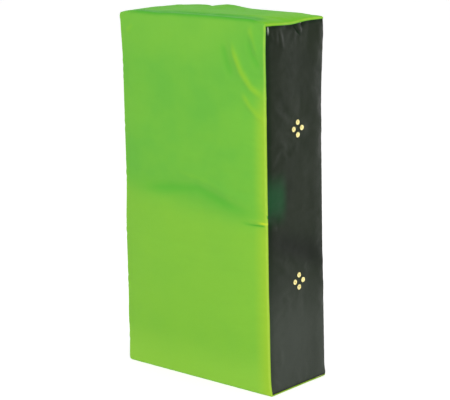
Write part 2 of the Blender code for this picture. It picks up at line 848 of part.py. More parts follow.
def oval_tube(across, half_wide, half_deep, cap_ends):
    """An upright oval post or tube round the grip's stretch of webbing."""
    bm = bmesh.new()
    spot = Matrix.Translation((across, web_plane() + STRAP_RISE, strap_middle()))
    bmesh.ops.create_cone(
        bm,
        cap_ends=cap_ends,
        segments=20,
        radius1=1,
        radius2=1,
        depth=GRIP_LENGTH,
        matrix=spot @ Matrix.Diagonal((half_wide, half_deep, 1, 1)),
    )
    return bm


def grip(name, across, axis):
    """Foam wrapped round the webbing, in a sleeve of cover cloth."""
    half_wide = WEB_WIDTH / 2 + GRIP_PADDING
    half_deep = WEB_WALL / 2 + GRIP_PADDING + GAP
    foam = place(
        f"{name}_grip_foam", oval_tube(across, half_wide, half_deep, True), FOAM, axis, world_place(axis)
    )
    centre = Vector((across, web_plane() + STRAP_RISE, strap_middle()))
    reach = Vector((WEB_WIDTH / 2 + GAP, WEB_WALL / 2 + GAP, GRIP_LENGTH))
    combine(foam, "DIFFERENCE", f"{name}_grip_slot", box(centre - reach, centre + reach))
    sleeve = place(
        f"{name}_grip_sleeve",
        oval_tube(across, half_wide + GAP, half_deep + GAP, False),
        BLACK_COVER,
        axis,
        world_place(axis),
    )
    thickness = sleeve.modifiers.new("cloth thickness", "SOLIDIFY")
    thickness.thickness = COVER_WALL
    thickness.offset = 1
    thickness.use_even_offset = True


def build():
    """Puts the pad together from the inside out."""
    foam_block()
    cover_wrap()
    panels = {1: cover_side("cover_side_right", 1), -1: cover_side("cover_side_left", -1)}
    cover_back("cover_back_lower", SEAM_RADIUS, ZIP_HEIGHT - window_half())
    cover_back("cover_back_upper", ZIP_HEIGHT + window_half(), HEIGHT - SEAM_RADIUS)
    vents(panels)
    zip_fastener()
    strap("strap_right", STRAP_SPREAD / 2)
    strap("strap_left", -STRAP_SPREAD / 2)


build()
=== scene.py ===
"""Looks of the upright tackle pad: sewn cover, foam, vents, zip and arm grips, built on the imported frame."""

import math

import bmesh
import bpy
import numpy as np
from mathutils import Matrix, Vector
from mathutils.bvhtree import BVHTree


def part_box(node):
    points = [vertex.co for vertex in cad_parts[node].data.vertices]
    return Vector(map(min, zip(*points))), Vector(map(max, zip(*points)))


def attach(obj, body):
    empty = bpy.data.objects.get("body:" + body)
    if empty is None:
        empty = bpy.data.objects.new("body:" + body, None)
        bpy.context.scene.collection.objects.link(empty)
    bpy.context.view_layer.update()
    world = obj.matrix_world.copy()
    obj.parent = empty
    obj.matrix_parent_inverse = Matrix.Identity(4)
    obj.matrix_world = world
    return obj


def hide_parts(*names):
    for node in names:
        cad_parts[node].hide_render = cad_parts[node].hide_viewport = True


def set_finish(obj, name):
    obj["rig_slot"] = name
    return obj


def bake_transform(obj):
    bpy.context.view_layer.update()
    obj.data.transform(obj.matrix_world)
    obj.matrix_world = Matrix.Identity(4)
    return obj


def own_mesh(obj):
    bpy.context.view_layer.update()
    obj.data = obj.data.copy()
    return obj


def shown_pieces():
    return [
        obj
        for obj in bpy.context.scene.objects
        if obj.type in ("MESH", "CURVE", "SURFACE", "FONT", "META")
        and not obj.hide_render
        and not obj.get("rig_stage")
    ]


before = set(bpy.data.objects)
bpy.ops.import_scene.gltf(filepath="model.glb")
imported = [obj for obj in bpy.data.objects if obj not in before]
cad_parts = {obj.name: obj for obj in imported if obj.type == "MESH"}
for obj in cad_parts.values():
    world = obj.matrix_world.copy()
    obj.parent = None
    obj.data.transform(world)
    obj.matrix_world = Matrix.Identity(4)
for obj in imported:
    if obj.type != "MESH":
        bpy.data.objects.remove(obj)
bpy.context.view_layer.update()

# The studio. A pale floor that runs white to the horizon, a broad soft lamp near the camera, a weaker one
# to its left and an even sky. The camera stands to the pad's right front, a little above its middle.
PHOTO_WIDTH = 450
FOCAL_PIXELS = 1748.4
SENSOR_WIDTH = 36.0
LIFT_PIXELS = 0.45
EYE = Vector((2.85576, -3.24113, 1.45269))
CAMERA_RIGHT = Vector((0.753708, 0.656957, -0.018202))
CAMERA_UP = Vector((-0.136035, 0.183045, 0.973647))
FLOOR_REACH = 40.0
FLOOR_GLOW = 0.56
FLOOR_GREYS = ((0.80, 0.80, 0.80, 1.0), (0.82, 0.82, 0.82, 1.0))
SKY_STRENGTH = 0.50
LAMPS = (
    # name, place, aim, size, watts
    ("key_lamp", (3.1, -2.6, 1.6), (0.0, 0.0, 0.42), 1.5, 62.0),
    ("fill_lamp", (-2.6, -3.4, 2.2), (0.0, 0.0, 0.5), 2.4, 42.0),
    ("top_lamp", (0.3, 0.6, 3.4), (0.0, 0.0, 0.5), 1.8, 14.0),
    ("back_lamp", (0.9, 3.8, 0.45), (0.0, 0.0, 0.45), 0.9, 20.0),
)


def paint(red, green, blue):
    """A colour given as the 0 to 255 numbers of a screen, as linear light."""
    shares = [level / 255 for level in (red, green, blue)]
    linear = [s / 12.92 if s <= 0.04045 else ((s + 0.055) / 1.055) ** 2.4 for s in shares]
    return (*linear, 1.0)


def placed(name, data):
    """A new object of some data, put in the scene."""
    item = bpy.data.objects.new(name, data)
    bpy.context.scene.collection.objects.link(item)
    return item


def mesh_of(bm, name):
    """A new mesh of a bmesh, which is freed."""
    mesh = bpy.data.meshes.new(name)
    bm.to_mesh(mesh)
    bm.free()
    return mesh


class Value:
    """An output of a node. Python's operators on it add Math nodes."""

    def __init__(self, nodes, socket):
        self.nodes = nodes
        self.socket = socket

    def maths(self, operation, first, second=0.0):
        return self.nodes.node("ShaderNodeMath", {"operation": operation}, {0: first, 1: second})

    def __add__(self, other):
        return self.maths("ADD", self, other)

    def __radd__(self, other):
        return self.maths("ADD", other, self)

    def __sub__(self, other):
        return self.maths("SUBTRACT", self, other)

    def __rsub__(self, other):
        return self.maths("SUBTRACT", other, self)

    def __mul__(self, other):
        return self.maths("MULTIPLY", self, other)

    def __rmul__(self, other):
        return self.maths("MULTIPLY", other, self)

    def __abs__(self):
        return self.maths("ABSOLUTE", self)

    def least(self, other):
        return self.maths("MINIMUM", self, other)

    def wave(self, pitch):
        """Runs from -1 to 1 and back over each pitch."""
        return self.maths("SINE", self * (math.tau / pitch))

    def ramp(self, low, high):
        """0 at low, 1 at high and a smooth rise between; low may be the higher number."""
        sockets = {"Value": self, "From Min": low, "From Max": high}
        return self.nodes.node("ShaderNodeMapRange", {"interpolation_type": "SMOOTHSTEP"}, sockets)


class Nodes:
    """Adds nodes to a tree and links them."""

    def __init__(self, tree):
        self.tree = tree

    def connect(self, socket, value):
        if isinstance(value, Value):
            self.tree.links.new(value.socket, socket)
        else:
            socket.default_value = value

    def node(self, kind, settings=None, sockets=None, output=0):
        """Adds a node, with its settings first and then the values or links of its sockets."""
        node = self.tree.nodes.new(kind)
        for name, setting in (settings or {}).items():
            setattr(node, name, setting)
        for name, value in (sockets or {}).items():
            self.connect(node.inputs[name], value)
        return Value(self, node.outputs[output])

    def seen(self):
        """1 for the camera's own rays and for those of reflections and glass, 0 for scattered light."""
        rays = self.node("ShaderNodeLightPath").socket.node.outputs
        kinds = [Value(self, rays[f"Is {kind} Ray"]) for kind in ("Camera", "Glossy", "Transmission")]
        return (kinds[0] + kinds[1] + kinds[2]).least(1.0)


class Finish(Nodes):
    """A surface finish being put together round a Principled shader."""

    def __init__(self, name):
        self.material = bpy.data.materials.new(name)
        self.material.use_nodes = True
        super().__init__(self.material.node_tree)
        self.shader = self.tree.nodes["Principled BSDF"]
        self.spot = self.place()

    def surface(self, **sockets):
        """Sets the shader's sockets, with underscores for the spaces in their names."""
        for name, value in sockets.items():
            self.connect(self.shader.inputs[name.replace("_", " ")], value)
        return self.material

    def place(self, kind="Object"):
        """The point on the piece in metres, or in its UV map."""
        return self.node("ShaderNodeTexCoord", output=kind)

    def parts(self, vector):
        """The three numbers of a vector."""
        first = self.node("ShaderNodeSeparateXYZ", {}, {0: vector})
        return [Value(self, socket) for socket in first.socket.node.outputs]

    def stretched(self, scale):
        """The point on the piece, with each of its numbers scaled."""
        return self.node("ShaderNodeMapping", {}, {"Vector": self.spot, "Scale": scale})

    def noise(self, scale, detail=2.0, roughness=0.5, vector=None):
        sockets = {"Vector": vector or self.spot, "Scale": scale, "Detail": detail, "Roughness": roughness}
        return self.node("ShaderNodeTexNoise", {}, sockets)

    def cells(self, scale):
        """Soft cells, as in foam or the grain of a coat."""
        sockets = {"Vector": self.spot, "Scale": scale}
        return self.node("ShaderNodeTexVoronoi", {"feature": "SMOOTH_F1"}, sockets)

    def mark(self, name):
        """A number painted on the piece's points."""
        return self.node("ShaderNodeAttribute", {"attribute_name": name}, output="Fac")

    def tint(self, factor, first, second):
        """The first colour where the factor is 0 and the second where it is 1."""
        sockets = {0: factor, 6: first, 7: second}
        return self.node("ShaderNodeMix", {"data_type": "RGBA"}, sockets, output=2)

    def mask(self, *ramps):
        """Product of ramps along directions of space, to both sides of a middle where one is given."""
        product = 1.0
        for direction, low, high, *middle in ramps:
            sockets = {0: self.spot, 1: direction}
            along = self.node("ShaderNodeVectorMath", {"operation": "DOT_PRODUCT"}, sockets, output=1)
            if middle:
                along = abs(along - middle[0])
            product = along.ramp(low, high) * product
        return product

    def patched(self, colour, patches):
        """A colour with patches of others on it, each given as its colour, its share and its ramps."""
        for there, share, *ramps in patches:
            colour = self.tint(self.mask(*ramps) * share, colour, there)
        return colour

    def bumps(self, *layers):
        """Normal of a surface with several heights on it, each given with its depth in metres."""
        normal = None
        for height, depth in layers:
            sockets = {"Height": height, "Distance": depth, "Strength": 1.0}
            if normal:
                sockets["Normal"] = normal
            normal = self.node("ShaderNodeBump", {}, sockets)
        return normal


def floor_paint():
    """Matt white paint that takes the pad's shadow and runs to white for the camera and in reflections."""
    finish = Finish("floor_paint")
    finish.surface(Base_Color=finish.tint(finish.noise(0.7), *FLOOR_GREYS), Roughness=0.9)
    glow = finish.node("ShaderNodeEmission", {}, {"Strength": finish.seen() * FLOOR_GLOW})
    both = finish.node("ShaderNodeAddShader", {}, {0: Value(finish, finish.shader.outputs[0]), 1: glow})
    finish.connect(finish.tree.nodes["Material Output"].inputs["Surface"], both)
    return finish.material


bpy.context.scene.view_settings.view_transform = "Standard"
camera_data = bpy.data.cameras.new("camera")
camera_data.sensor_width = SENSOR_WIDTH
camera_data.lens = FOCAL_PIXELS / PHOTO_WIDTH * SENSOR_WIDTH
camera_data.shift_y = LIFT_PIXELS / PHOTO_WIDTH
camera = placed("camera", camera_data)
camera_turn = Matrix((CAMERA_RIGHT, CAMERA_UP, CAMERA_RIGHT.cross(CAMERA_UP))).transposed()
camera.matrix_world = Matrix.Translation(EYE) @ camera_turn.to_4x4()
bpy.context.scene.camera = camera

for name, place, aim, size, watts in LAMPS:
    lamp_data = bpy.data.lights.new(name, "AREA")
    lamp_data.shape = "DISK"
    lamp_data.size = size
    lamp_data.energy = watts
    lamp = placed(name, lamp_data)
    lamp.location = place
    lamp.rotation_euler = (Vector(aim) - Vector(place)).to_track_quat("-Z", "Y").to_euler()

sky = bpy.data.worlds.new("sky")
sky.use_nodes = True
bpy.context.scene.world = sky
sky_nodes = Nodes(sky.node_tree)
background = sky.node_tree.nodes["Background"]
background.inputs["Color"].default_value = (1.0, 1.0, 1.0, 1.0)
sky_nodes.connect(background.inputs["Strength"], SKY_STRENGTH + (1.0 - SKY_STRENGTH) * sky_nodes.seen())

floor_shape = bmesh.new()
bmesh.ops.create_grid(floor_shape, x_segments=4, y_segments=4, size=FLOOR_REACH)
floor = placed("studio_floor", mesh_of(floor_shape, "studio_floor"))
floor.data.materials.append(floor_paint())
floor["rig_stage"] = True

# The cover's bag. The real one is cut from coated cloth, sewn inside out, turned and pulled over the foam.
# Here one fine net of faces is laid over the plain block, swollen to the stuffed shape and given its gathers
# by a cloth simulation in which the seams, the base and the places of vents, zip and patches are held.
SIDES = (("right", 1), ("left", -1))
LEVELS = (("upper", 1), ("lower", -1))
WIDTH = 0.478
DEPTH = 0.216
HEIGHT = 0.914
HALF_WIDTH = WIDTH / 2
HALF_DEPTH = DEPTH / 2
CLOTH = 0.0010
LAP = CLOTH + 0.0003
SEAM_RADIUS = 0.0036
LIP = SEAM_RADIUS + 0.0008
TOP_FOLD = 0.009
BASE_FOLD = 0.005
BACK_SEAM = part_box("cover_back_upper")[1].x
NET = 0.0076
NEAR = 1e-6
ALIGNED = 3e-4
SHARP_CORNER = math.radians(60)
FRONT_FOAM = 0.070
ZIP_HEIGHT = sum(v.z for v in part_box("zip_slider")) / 2
ZIP_HALF = (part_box("cover_back_upper")[0].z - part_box("cover_back_lower")[1].z) / 2
VENT_HOLD = 0.030

# The stuffed shape. Spans are shares of the half width or half depth, or heights in metres
FRONT_SWELL = 0.011
FRONT_FLAT = 0.3
SIDE_SWELL = 0.003
SIDE_FLAT = 0.45
WAIST = 0.004
WAIST_FLAT = 0.6
CROWN = 0.0178
CROWN_POWER = 4
LEFT_CROWN = 0.9
RIGHT_CROWN_FLAT = 0.6
CROWN_CHANGE = (-0.3, 0.3)
BACK_LOSS = 0.25
BACK_LOSS_CHANGE = (-0.4, 0.2)
BACK_PART = (0.2, 1.0)
BACK_EDGE_WAVES = (
    # middle, reach, rise
    (-0.92, 0.12, -0.0018),
    (-0.68, 0.20, 0.0034),
    (-0.45, 0.07, -0.0040),
    (-0.20, 0.16, 0.0036),
    (0.84, 0.08, -0.0008),
)
LEFT_END = (-0.6, -1.0)
LEFT_TIP = (-0.93, -1.0)
LEFT_TIP_LOSS = 0.35
LEFT_RISE = 0.0076
LEFT_STEPS = (
    # from, to, rise
    (-1.0, -0.5, 0.0022),
    (-0.2, 1.0, -0.0045),
)
CREST_RISE = 0.0066
CREST_SPANS = ((-0.98, -0.77), (-0.42, -0.71))
CREST_BACK = (-0.35, -1.0)
RIGHT_END = (0.86, 1.0)
RIGHT_RISE = 0.0062
RIGHT_BACK_LOSS = 0.0028
RIGHT_DIP = ((-0.12, 0.50, -0.0048),)
EDGE_PART = (0.75, 1.0)
FRONT_EDGE_PART = (-0.45, -1.0)
REAR_EDGE_PART = (0.40, 1.0)
LEFT_OUT = 0.0068
LEFT_OUT_STEPS = ((0.36, 0.50, -0.0056), (0.79, 0.89, 0.0024))
LEFT_OUT_BUMP = ((0.127, 0.03, 0.0020),)
RIGHT_IN_STEPS = ((0.18, 0.27, -0.0016), (0.44, 0.52, -0.0005), (0.78, 0.86, -0.0014))
REAR_EDGE = (
    # height, how far the back corner stands out
    (0.00, 0.0050), (0.06, 0.0070), (0.11, 0.0076), (0.17, 0.0070), (0.24, 0.0060),
    (0.30, 0.0043), (0.44, 0.0037), (0.55, 0.0032), (0.65, 0.0018), (0.75, 0.0040),
    (0.80, 0.0062), (0.855, 0.0077), (0.885, 0.0077), (0.914, 0.0040),
)
BASE_ROUND = 0.011
BASE_TUCK = 0.0055
BASE_TUCK_SPAN = (0.5, 1.0)
BACK_TUCK = 0.0045
BACK_TUCK_SPAN = (0.9, 1.0)
BASE_FLARE = 0.0030
BASE_FLARE_SPAN = (0.035, 0.0)
PINCH = 0.5 * TOP_FOLD
PINCH_ENDS = (0.84, 0.98)
PINCH_SPREAD = (0.9, 0.0)
PINCH_INSIDE = (0.45, 0.30)

SIM_FRAMES = 20
CLOTH_SETTINGS = {
    "quality": 4,
    "mass": 0.3,
    "tension_stiffness": 20,
    "compression_stiffness": 20,
    "shear_stiffness": 8,
    "bending_stiffness": 0.2,
    "use_pressure": True,
    "uniform_pressure_force": 4,
    "vertex_group_mass": "held",
    "shrink_min": -0.012,
}
GATHER_LIMIT = 0.0024
GATHER_PASSES = 45
GATHERS_FRONT = 0.28
GATHERS_TOP = 0.45
GATHERS_REST = 0.75


def ease(value, low, high):
    """0 at low, 1 at high and a smooth rise between, for arrays; low may be the higher number."""
    share = np.clip((value - low) / (high - low), 0.0, 1.0)
    return share * share * (3 - 2 * share)


def steps(value, table):
    """Sum of smooth steps, each given as where it starts and ends and how much it adds."""
    return sum(rise * ease(value, low, high) for low, high, rise in table)


def bell(value, reach):
    """1 at 0, falling off smoothly on both sides."""
    return np.exp(-((value / reach) ** 2))


def bells(value, table):
    """Sum of bell curves, each given as its middle, reach and height."""
    return sum(rise * bell(value - middle, reach) for middle, reach, rise in table)


def slice_at(bm, axis, values):
    """Cuts all faces along planes square to an axis."""
    normal = Vector((axis == 0, axis == 1, axis == 2))
    for value in values:
        geom = bm.verts[:] + bm.edges[:] + bm.faces[:]
        bmesh.ops.bisect_plane(bm, geom=geom, dist=NEAR, plane_co=normal * value, plane_no=normal)


def runs_along(edge, axis):
    first, second = (v.co for v in edge.verts)
    return abs(first[axis] - second[axis]) > NEAR


def rounded(bm, edges, radius, segments):
    """Rounds some edges of a bmesh."""
    bmesh.ops.bevel(
        bm, geom=edges, offset=radius, segments=segments, profile=0.5, affect="EDGES", material=-1
    )


def sharp_edges(bm):
    """The edges at which faces meet at a clear corner."""
    bm.normal_update()
    return [e for e in bm.edges if e.calc_face_angle(0) > SHARP_CORNER]


def net_along(bm, axis, spacing):
    """Splits the long faces along one axis into even steps."""
    others = [other for other in range(3) if other != axis]
    spans = {}
    for edge in bm.edges:
        first, second = (v.co for v in edge.verts)
        if all(abs(first[other] - second[other]) < ALIGNED for other in others):
            span = tuple(sorted((round(first[axis], 3), round(second[axis], 3))))
            spans.setdefault(span, []).append(edge)
    for (low, high), edges in sorted(spans.items()):
        cuts = math.ceil((high - low) / spacing) - 1
        if cuts > 0:
            bmesh.ops.subdivide_edges(bm, edges=edges, cuts=cuts, use_grid_fill=True)


def block(inset, spacing, y_cuts=(), z_cuts=()):
    """The plain block's skin as a net: soft folds along the front's top and bottom, tight edges elsewhere."""
    bm = bmesh.new()
    size = (WIDTH - 2 * inset, DEPTH - 2 * inset, HEIGHT - 2 * inset, 1)
    middle = Matrix.Translation((0, 0, HEIGHT / 2))
    bmesh.ops.create_cube(bm, size=1, matrix=middle @ Matrix.Diagonal(size))
    front = [e for e in bm.edges if all(v.co.y < 0 for v in e.verts)]
    for radius, upper in ((TOP_FOLD, True), (BASE_FOLD, False)):
        level = [e for e in front if e.is_valid and runs_along(e, 0)]
        fold = [e for e in level if (e.verts[0].co.z > HEIGHT / 2) == upper]
        rounded(bm, fold, radius - inset, 4)
    rounded(bm, sharp_edges(bm), SEAM_RADIUS - inset, 3)
    side = HALF_WIDTH - SEAM_RADIUS
    slice_at(bm, 0, [-side, -BACK_SEAM, BACK_SEAM, side])
    slice_at(bm, 1, [SEAM_RADIUS - HALF_DEPTH, LIP - HALF_DEPTH, TOP_FOLD - HALF_DEPTH])
    slice_at(bm, 1, [HALF_DEPTH - SEAM_RADIUS, *y_cuts])
    for edge in (SEAM_RADIUS, LIP, TOP_FOLD):
        slice_at(bm, 2, [edge, HEIGHT - edge])
    slice_at(bm, 2, z_cuts)
    for axis in range(3):
        net_along(bm, axis, spacing)
    bmesh.ops.triangulate(bm, faces=[f for f in bm.faces if len(f.verts) > 4])
    bm.normal_update()
    return bm


def swell(share, flat):
    """1 over the flat middle of a stuffed face, falling to 0 where it is sewn."""
    return 1 - np.clip((np.abs(share) - flat) / (1 - flat), 0.0, 1.0) ** 3


def crown_across(across):
    """Height of the top's front crest as a share of CROWN, lower on the left and fuller on the right."""
    left = LEFT_CROWN * ease(np.abs(across), 1.0, 0.25)
    right = 1 - np.clip((np.abs(across) - RIGHT_CROWN_FLAT) / (1 - RIGHT_CROWN_FLAT), 0.0, 1.0) ** 4
    mix = ease(across, *CROWN_CHANGE)
    return left * (1 - mix) + right * mix


def top_rise(across, deep):
    """How far the foam lifts the top: a crest along the front, full ends and a waved back edge."""
    back_loss = BACK_LOSS * (1 + ease(across, *BACK_LOSS_CHANGE))
    rise = CROWN * crown_across(across) * (1 - back_loss * (1 + deep) / 2)
    rise += ease(deep, *BACK_PART) * bells(across, BACK_EDGE_WAVES)
    left = ease(across, *LEFT_END) * (1 - LEFT_TIP_LOSS * ease(across, *LEFT_TIP))
    rise += (LEFT_RISE + steps(deep, LEFT_STEPS)) * left
    crest = ease(across, *CREST_SPANS[0]) * ease(across, *CREST_SPANS[1])
    rise += CREST_RISE * crest * ease(deep, *CREST_BACK)
    right = RIGHT_RISE - RIGHT_BACK_LOSS * ease(deep, *BACK_PART) + bells(deep, RIGHT_DIP)
    return rise + right * ease(across, *RIGHT_END)


def edge_shift(across, deep, z, tucked):
    """How far the upright edges stand out from the plain block's, and are tucked in at the base."""
    left = LEFT_OUT + steps(z, LEFT_OUT_STEPS) + bells(z, LEFT_OUT_BUMP)
    shift = ease(deep, *FRONT_EDGE_PART) * np.where(across < 0, left, steps(z, RIGHT_IN_STEPS))
    shift += ease(deep, *REAR_EDGE_PART) * np.interp(z, *zip(*REAR_EDGE))
    shift -= BASE_TUCK * tucked * np.where(across < 0, 1.0, ease(deep, *BASE_TUCK_SPAN))
    return shift + BASE_FLARE * ease(z, *BASE_FLARE_SPAN) * (across > 0)


def stuffed(points):
    """The plain block's points, moved as the foam inside moves the cover."""
    across = points[:, 0] / HALF_WIDTH
    deep = points[:, 1] / HALF_DEPTH
    z = points[:, 2]
    high = 2 * z / HEIGHT - 1
    core_front = -1 + 2 * (LAP + FRONT_FOAM) / DEPTH
    front = np.clip((core_front - deep) / (core_front + 1), 0.0, None)
    tucked = np.clip(1 - z / BASE_ROUND, 0.0, 1.0) ** 2
    moved = points.copy()
    moved[:, 0] += across * (SIDE_SWELL * swell(deep, SIDE_FLAT) - WAIST) * swell(high, WAIST_FLAT)
    moved[:, 0] += np.sign(across) * ease(np.abs(across), *EDGE_PART) * edge_shift(across, deep, z, tucked)
    moved[:, 1] -= FRONT_SWELL * front * swell(across, FRONT_FLAT) * swell(high, FRONT_FLAT)
    moved[:, 1] -= BACK_TUCK * tucked * ease(deep, *BACK_TUCK_SPAN) * ease(np.abs(across), *BACK_TUCK_SPAN)
    moved[:, 2] += top_rise(across, deep) * (z / HEIGHT) ** CROWN_POWER
    # The front's top fold is pinched sharp where the side seams hold its ends
    below = np.clip((HEIGHT - z) / TOP_FOLD, 0.0, 1.0)
    behind_face = np.clip((points[:, 1] + HALF_DEPTH) / TOP_FOLD, 0.0, 1.0)
    pinched = PINCH * ease(np.abs(across), *PINCH_ENDS) * ease(np.abs(below - behind_face), *PINCH_SPREAD)
    pinched *= ease(np.minimum(below, behind_face), *PINCH_INSIDE)
    moved[:, 1] -= behind_face * pinched
    moved[:, 2] += below * pinched
    return moved


def numbers(items, name, width=1, kind=float):
    """A number, or a row of them, from every item of a mesh, as an array."""
    flat = np.zeros(len(items) * width, kind)
    items.foreach_get(name, flat)
    return flat.reshape(-1, width) if width > 1 else flat


def coordinates(mesh):
    return numbers(mesh.vertices, "co", 3)


def vent_middles():
    """Side, depth and height of each group of four eyelets."""
    groups = []
    for word, side in SIDES:
        for level, _ in LEVELS:
            low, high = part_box(f"vent_backing_{word}_{level}")
            groups.append((side, (low.y + high.y) / 2, (low.z + high.z) / 2))
    return groups


def held(points):
    """True where the cloth can't gather: seams, base, zip, vents and strap patches."""
    x, y, z = np.abs(points[:, 0]), points[:, 1], points[:, 2]
    sides = x > HALF_WIDTH - SEAM_RADIUS
    lips = (y < LIP - HALF_DEPTH + NEAR) | (z < LIP + NEAR) | (z > HEIGHT - LIP - NEAR)
    back = y > HALF_DEPTH - NEAR
    hems = (z < LIP + NEAR) | (z > HEIGHT - LIP - NEAR) | (np.abs(z - ZIP_HEIGHT) < ZIP_HALF + NET)
    fixed = (sides & lips) | (back & (hems | (x > BACK_SEAM - NEAR))) | (z < NEAR)
    for side, depth, height in vent_middles():
        near_vent = np.hypot(y - depth, z - height) < VENT_HOLD
        fixed |= sides & (points[:, 0] * side > 0) & near_vent
    for level, _ in LEVELS:
        low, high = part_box(f"strap_right_patch_{level}")
        fixed |= back & (x > low.x - NET) & (x < high.x + NET) & (z > low.z - NET) & (z < high.z + NET)
    return fixed


def simulated(mesh, fixed):
    """The mesh's points after slack cloth has been blown out against its held points."""
    item = placed("bag_simulation", mesh)
    group = item.vertex_groups.new(name="held")
    group.add(np.flatnonzero(fixed).tolist(), 1.0, "REPLACE")
    cloth = item.modifiers.new("stuffing", "CLOTH")
    for name, setting in CLOTH_SETTINGS.items():
        setattr(cloth.settings, name, setting)
    cloth.settings.effector_weights.gravity = 0
    cloth.collision_settings.use_collision = False
    scene = bpy.context.scene
    for number in range(1, SIM_FRAMES + 1):
        scene.frame_set(number)
    result = coordinates(item.evaluated_get(bpy.context.evaluated_depsgraph_get()).data)
    scene.frame_set(1)
    bpy.data.objects.remove(item)
    return result


def neighbour_mean(values, edges, counts):
    """Each point's mean over the points that it shares an edge with."""
    total = np.zeros_like(values)
    for axis in range(3):
        for here, there in ((0, 1), (1, 0)):
            total[:, axis] += np.bincount(edges[:, here], values[edges[:, there], axis], len(values))
    return total / counts[:, None]


def gathers(mesh, fixed):
    """The simulated cloth's wrinkles alone, without its broad swelling."""
    start = coordinates(mesh)
    moved = simulated(mesh, fixed) - start
    edges = numbers(mesh.edges, "vertices", 2, np.int32)
    counts = np.bincount(edges.ravel(), minlength=len(start)).astype(float)
    broad = moved.copy()
    for _ in range(GATHER_PASSES):
        broad = 0.5 * broad + 0.5 * neighbour_mean(broad, edges, counts)
        broad[fixed] = 0
    fine = moved - broad
    size = np.linalg.norm(fine, axis=1, keepdims=True) + 1e-9
    return fine / size * GATHER_LIMIT * np.tanh(size / GATHER_LIMIT)


bag = mesh_of(block(0.0, NET, z_cuts=(ZIP_HEIGHT - ZIP_HALF, ZIP_HEIGHT + ZIP_HALF)), "bag")
PLAIN = coordinates(bag)
BAG = stuffed(PLAIN)
bag.vertices.foreach_set("co", BAG.ravel())
bag.update()
# The front is stretched tight over the swell, so it keeps less of the gathers than sides and back
tight = np.where(PLAIN[:, 1] < -HALF_DEPTH + TOP_FOLD, GATHERS_FRONT, GATHERS_REST)
tight = np.where(PLAIN[:, 2] > HEIGHT - TOP_FOLD, GATHERS_TOP, tight)
bag.vertices.foreach_set("co", (BAG + gathers(bag, held(PLAIN)) * tight[:, None]).ravel())
bag.update()
BAG_NORMALS = np.array([v.vector for v in bag.vertex_normals])


def shown_mesh(item, name):
    """A new mesh of an object with its modifiers applied; the object is removed."""
    bpy.context.view_layer.update()
    graph = bpy.context.evaluated_depsgraph_get()
    mesh = bpy.data.meshes.new_from_object(item.evaluated_get(graph))
    mesh.name = name
    bpy.data.objects.remove(item)
    return mesh


def walled(item, wall, offset=-1):
    """Gives an object's sheet a wall, inwards from the sheet or, at offset 0, to both sides."""
    solid = item.modifiers.new("wall", "SOLIDIFY")
    solid.thickness = wall
    solid.offset = offset


def laid_out(mesh, flat):
    """Gives a mesh a UV map in metres, from the flat place of each of its points."""
    corners = numbers(mesh.loops, "vertex_index", 1, np.int32)
    mesh.uv_layers.new(name="laid_flat").data.foreach_set("uv", flat[corners].ravel())


def new_piece(name, mesh, material, body, slot, *nodes):
    """Puts a finished mesh in the scene as a piece that rides on a body and stands for CAD nodes."""
    mesh.name = name
    mesh.materials.clear()
    mesh.materials.append(material)
    piece = placed(name, mesh)
    if body:
        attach(piece, body)
    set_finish(piece, slot)
    if nodes:
        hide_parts(*nodes)
    return piece


def cloth_panel(keep, inset, shape, face_place):
    """Cuts a panel out of the bag, smooths it once, shapes it finely and gives it its thickness.

    keep tells which faces it has by their middles on the plain block, inset is how deep it lies under
    the outermost cloth, shape moves the fine points outwards and face_place maps them flat, in metres.
    """
    bm = bmesh.new()
    bm.from_mesh(bag)
    middles = np.array([PLAIN[list(p.vertices)].mean(0) for p in bag.polygons])
    wanted = keep(middles)
    plain = bm.verts.layers.float_vector.new("plain")
    outward = bm.verts.layers.float_vector.new("outward")
    for vert in bm.verts:
        vert[plain] = PLAIN[vert.index]
        vert[outward] = BAG_NORMALS[vert.index]
        vert.co -= inset * vert.normal
    bmesh.ops.delete(bm, geom=[f for f in bm.faces if not wanted[f.index]], context="FACES")
    item = placed("panel", mesh_of(bm, "panel"))
    finer = item.modifiers.new("finer", "SUBSURF")
    finer.levels = 1
    finer.render_levels = 1
    finer.boundary_smooth = "PRESERVE_CORNERS"
    mesh = shown_mesh(item, "panel")
    on_plain, normals = (numbers(mesh.attributes[name].data, "vector", 3) for name in ("plain", "outward"))
    normals /= np.linalg.norm(normals, axis=1, keepdims=True)
    heights = shape(on_plain)
    points = coordinates(mesh) + normals * heights[:, None]
    mesh.vertices.foreach_set("co", points.ravel())
    laid_out(mesh, face_place(on_plain))
    marks = {"worn": edge_wear_and_highlight(on_plain), "raised": heights, "creased": crest_shade_band(on_plain)}
    for mark, values in marks.items():
        mesh.attributes.new(mark, "FLOAT", "POINT").data.foreach_set("value", values)
    for name in ("plain", "outward"):
        mesh.attributes.remove(mesh.attributes[name])
    item = placed("panel", mesh)
    walled(item, CLOTH)
    mesh = shown_mesh(item, "panel")
    mesh.shade_smooth()
    return mesh


WEAR_HIGHLIGHT_REACH = 0.7 * SEAM_RADIUS
# Where painted shade lies in the crease along the front's crest
CREASE_SHADE_ENDS = ((-0.230, -0.175), (0.232, 0.190))
CREASE_SHADE_UP = (HEIGHT - 0.0115, HEIGHT - 0.0005)
CREASE_SHADE_BACK = (-0.052, -0.086)
FOLD_FADE = 0.3
WEAVE_PITCH = 0.0011
RIDGE_LIGHT_RAMP = (0.0003, 0.0046)
VALLEY_SHADE_RAMP = (-0.0010, -0.0050)
PUCKER_PITCHES = (1.0, 1.37, 1.9)
PUCKER_BEAT = 7.3


def edge_wear_and_highlight(points):
    """1 along the sides' rounded edges, where the cloth is stretched and rubbed and a painted highlight lies,
    falling off beside them.
    """
    x, y, z = points.T
    other = np.minimum(HALF_DEPTH - np.abs(y), HEIGHT - z)
    return bell(HALF_WIDTH - np.abs(x), WEAR_HIGHLIGHT_REACH) * bell(other, WEAR_HIGHLIGHT_REACH)


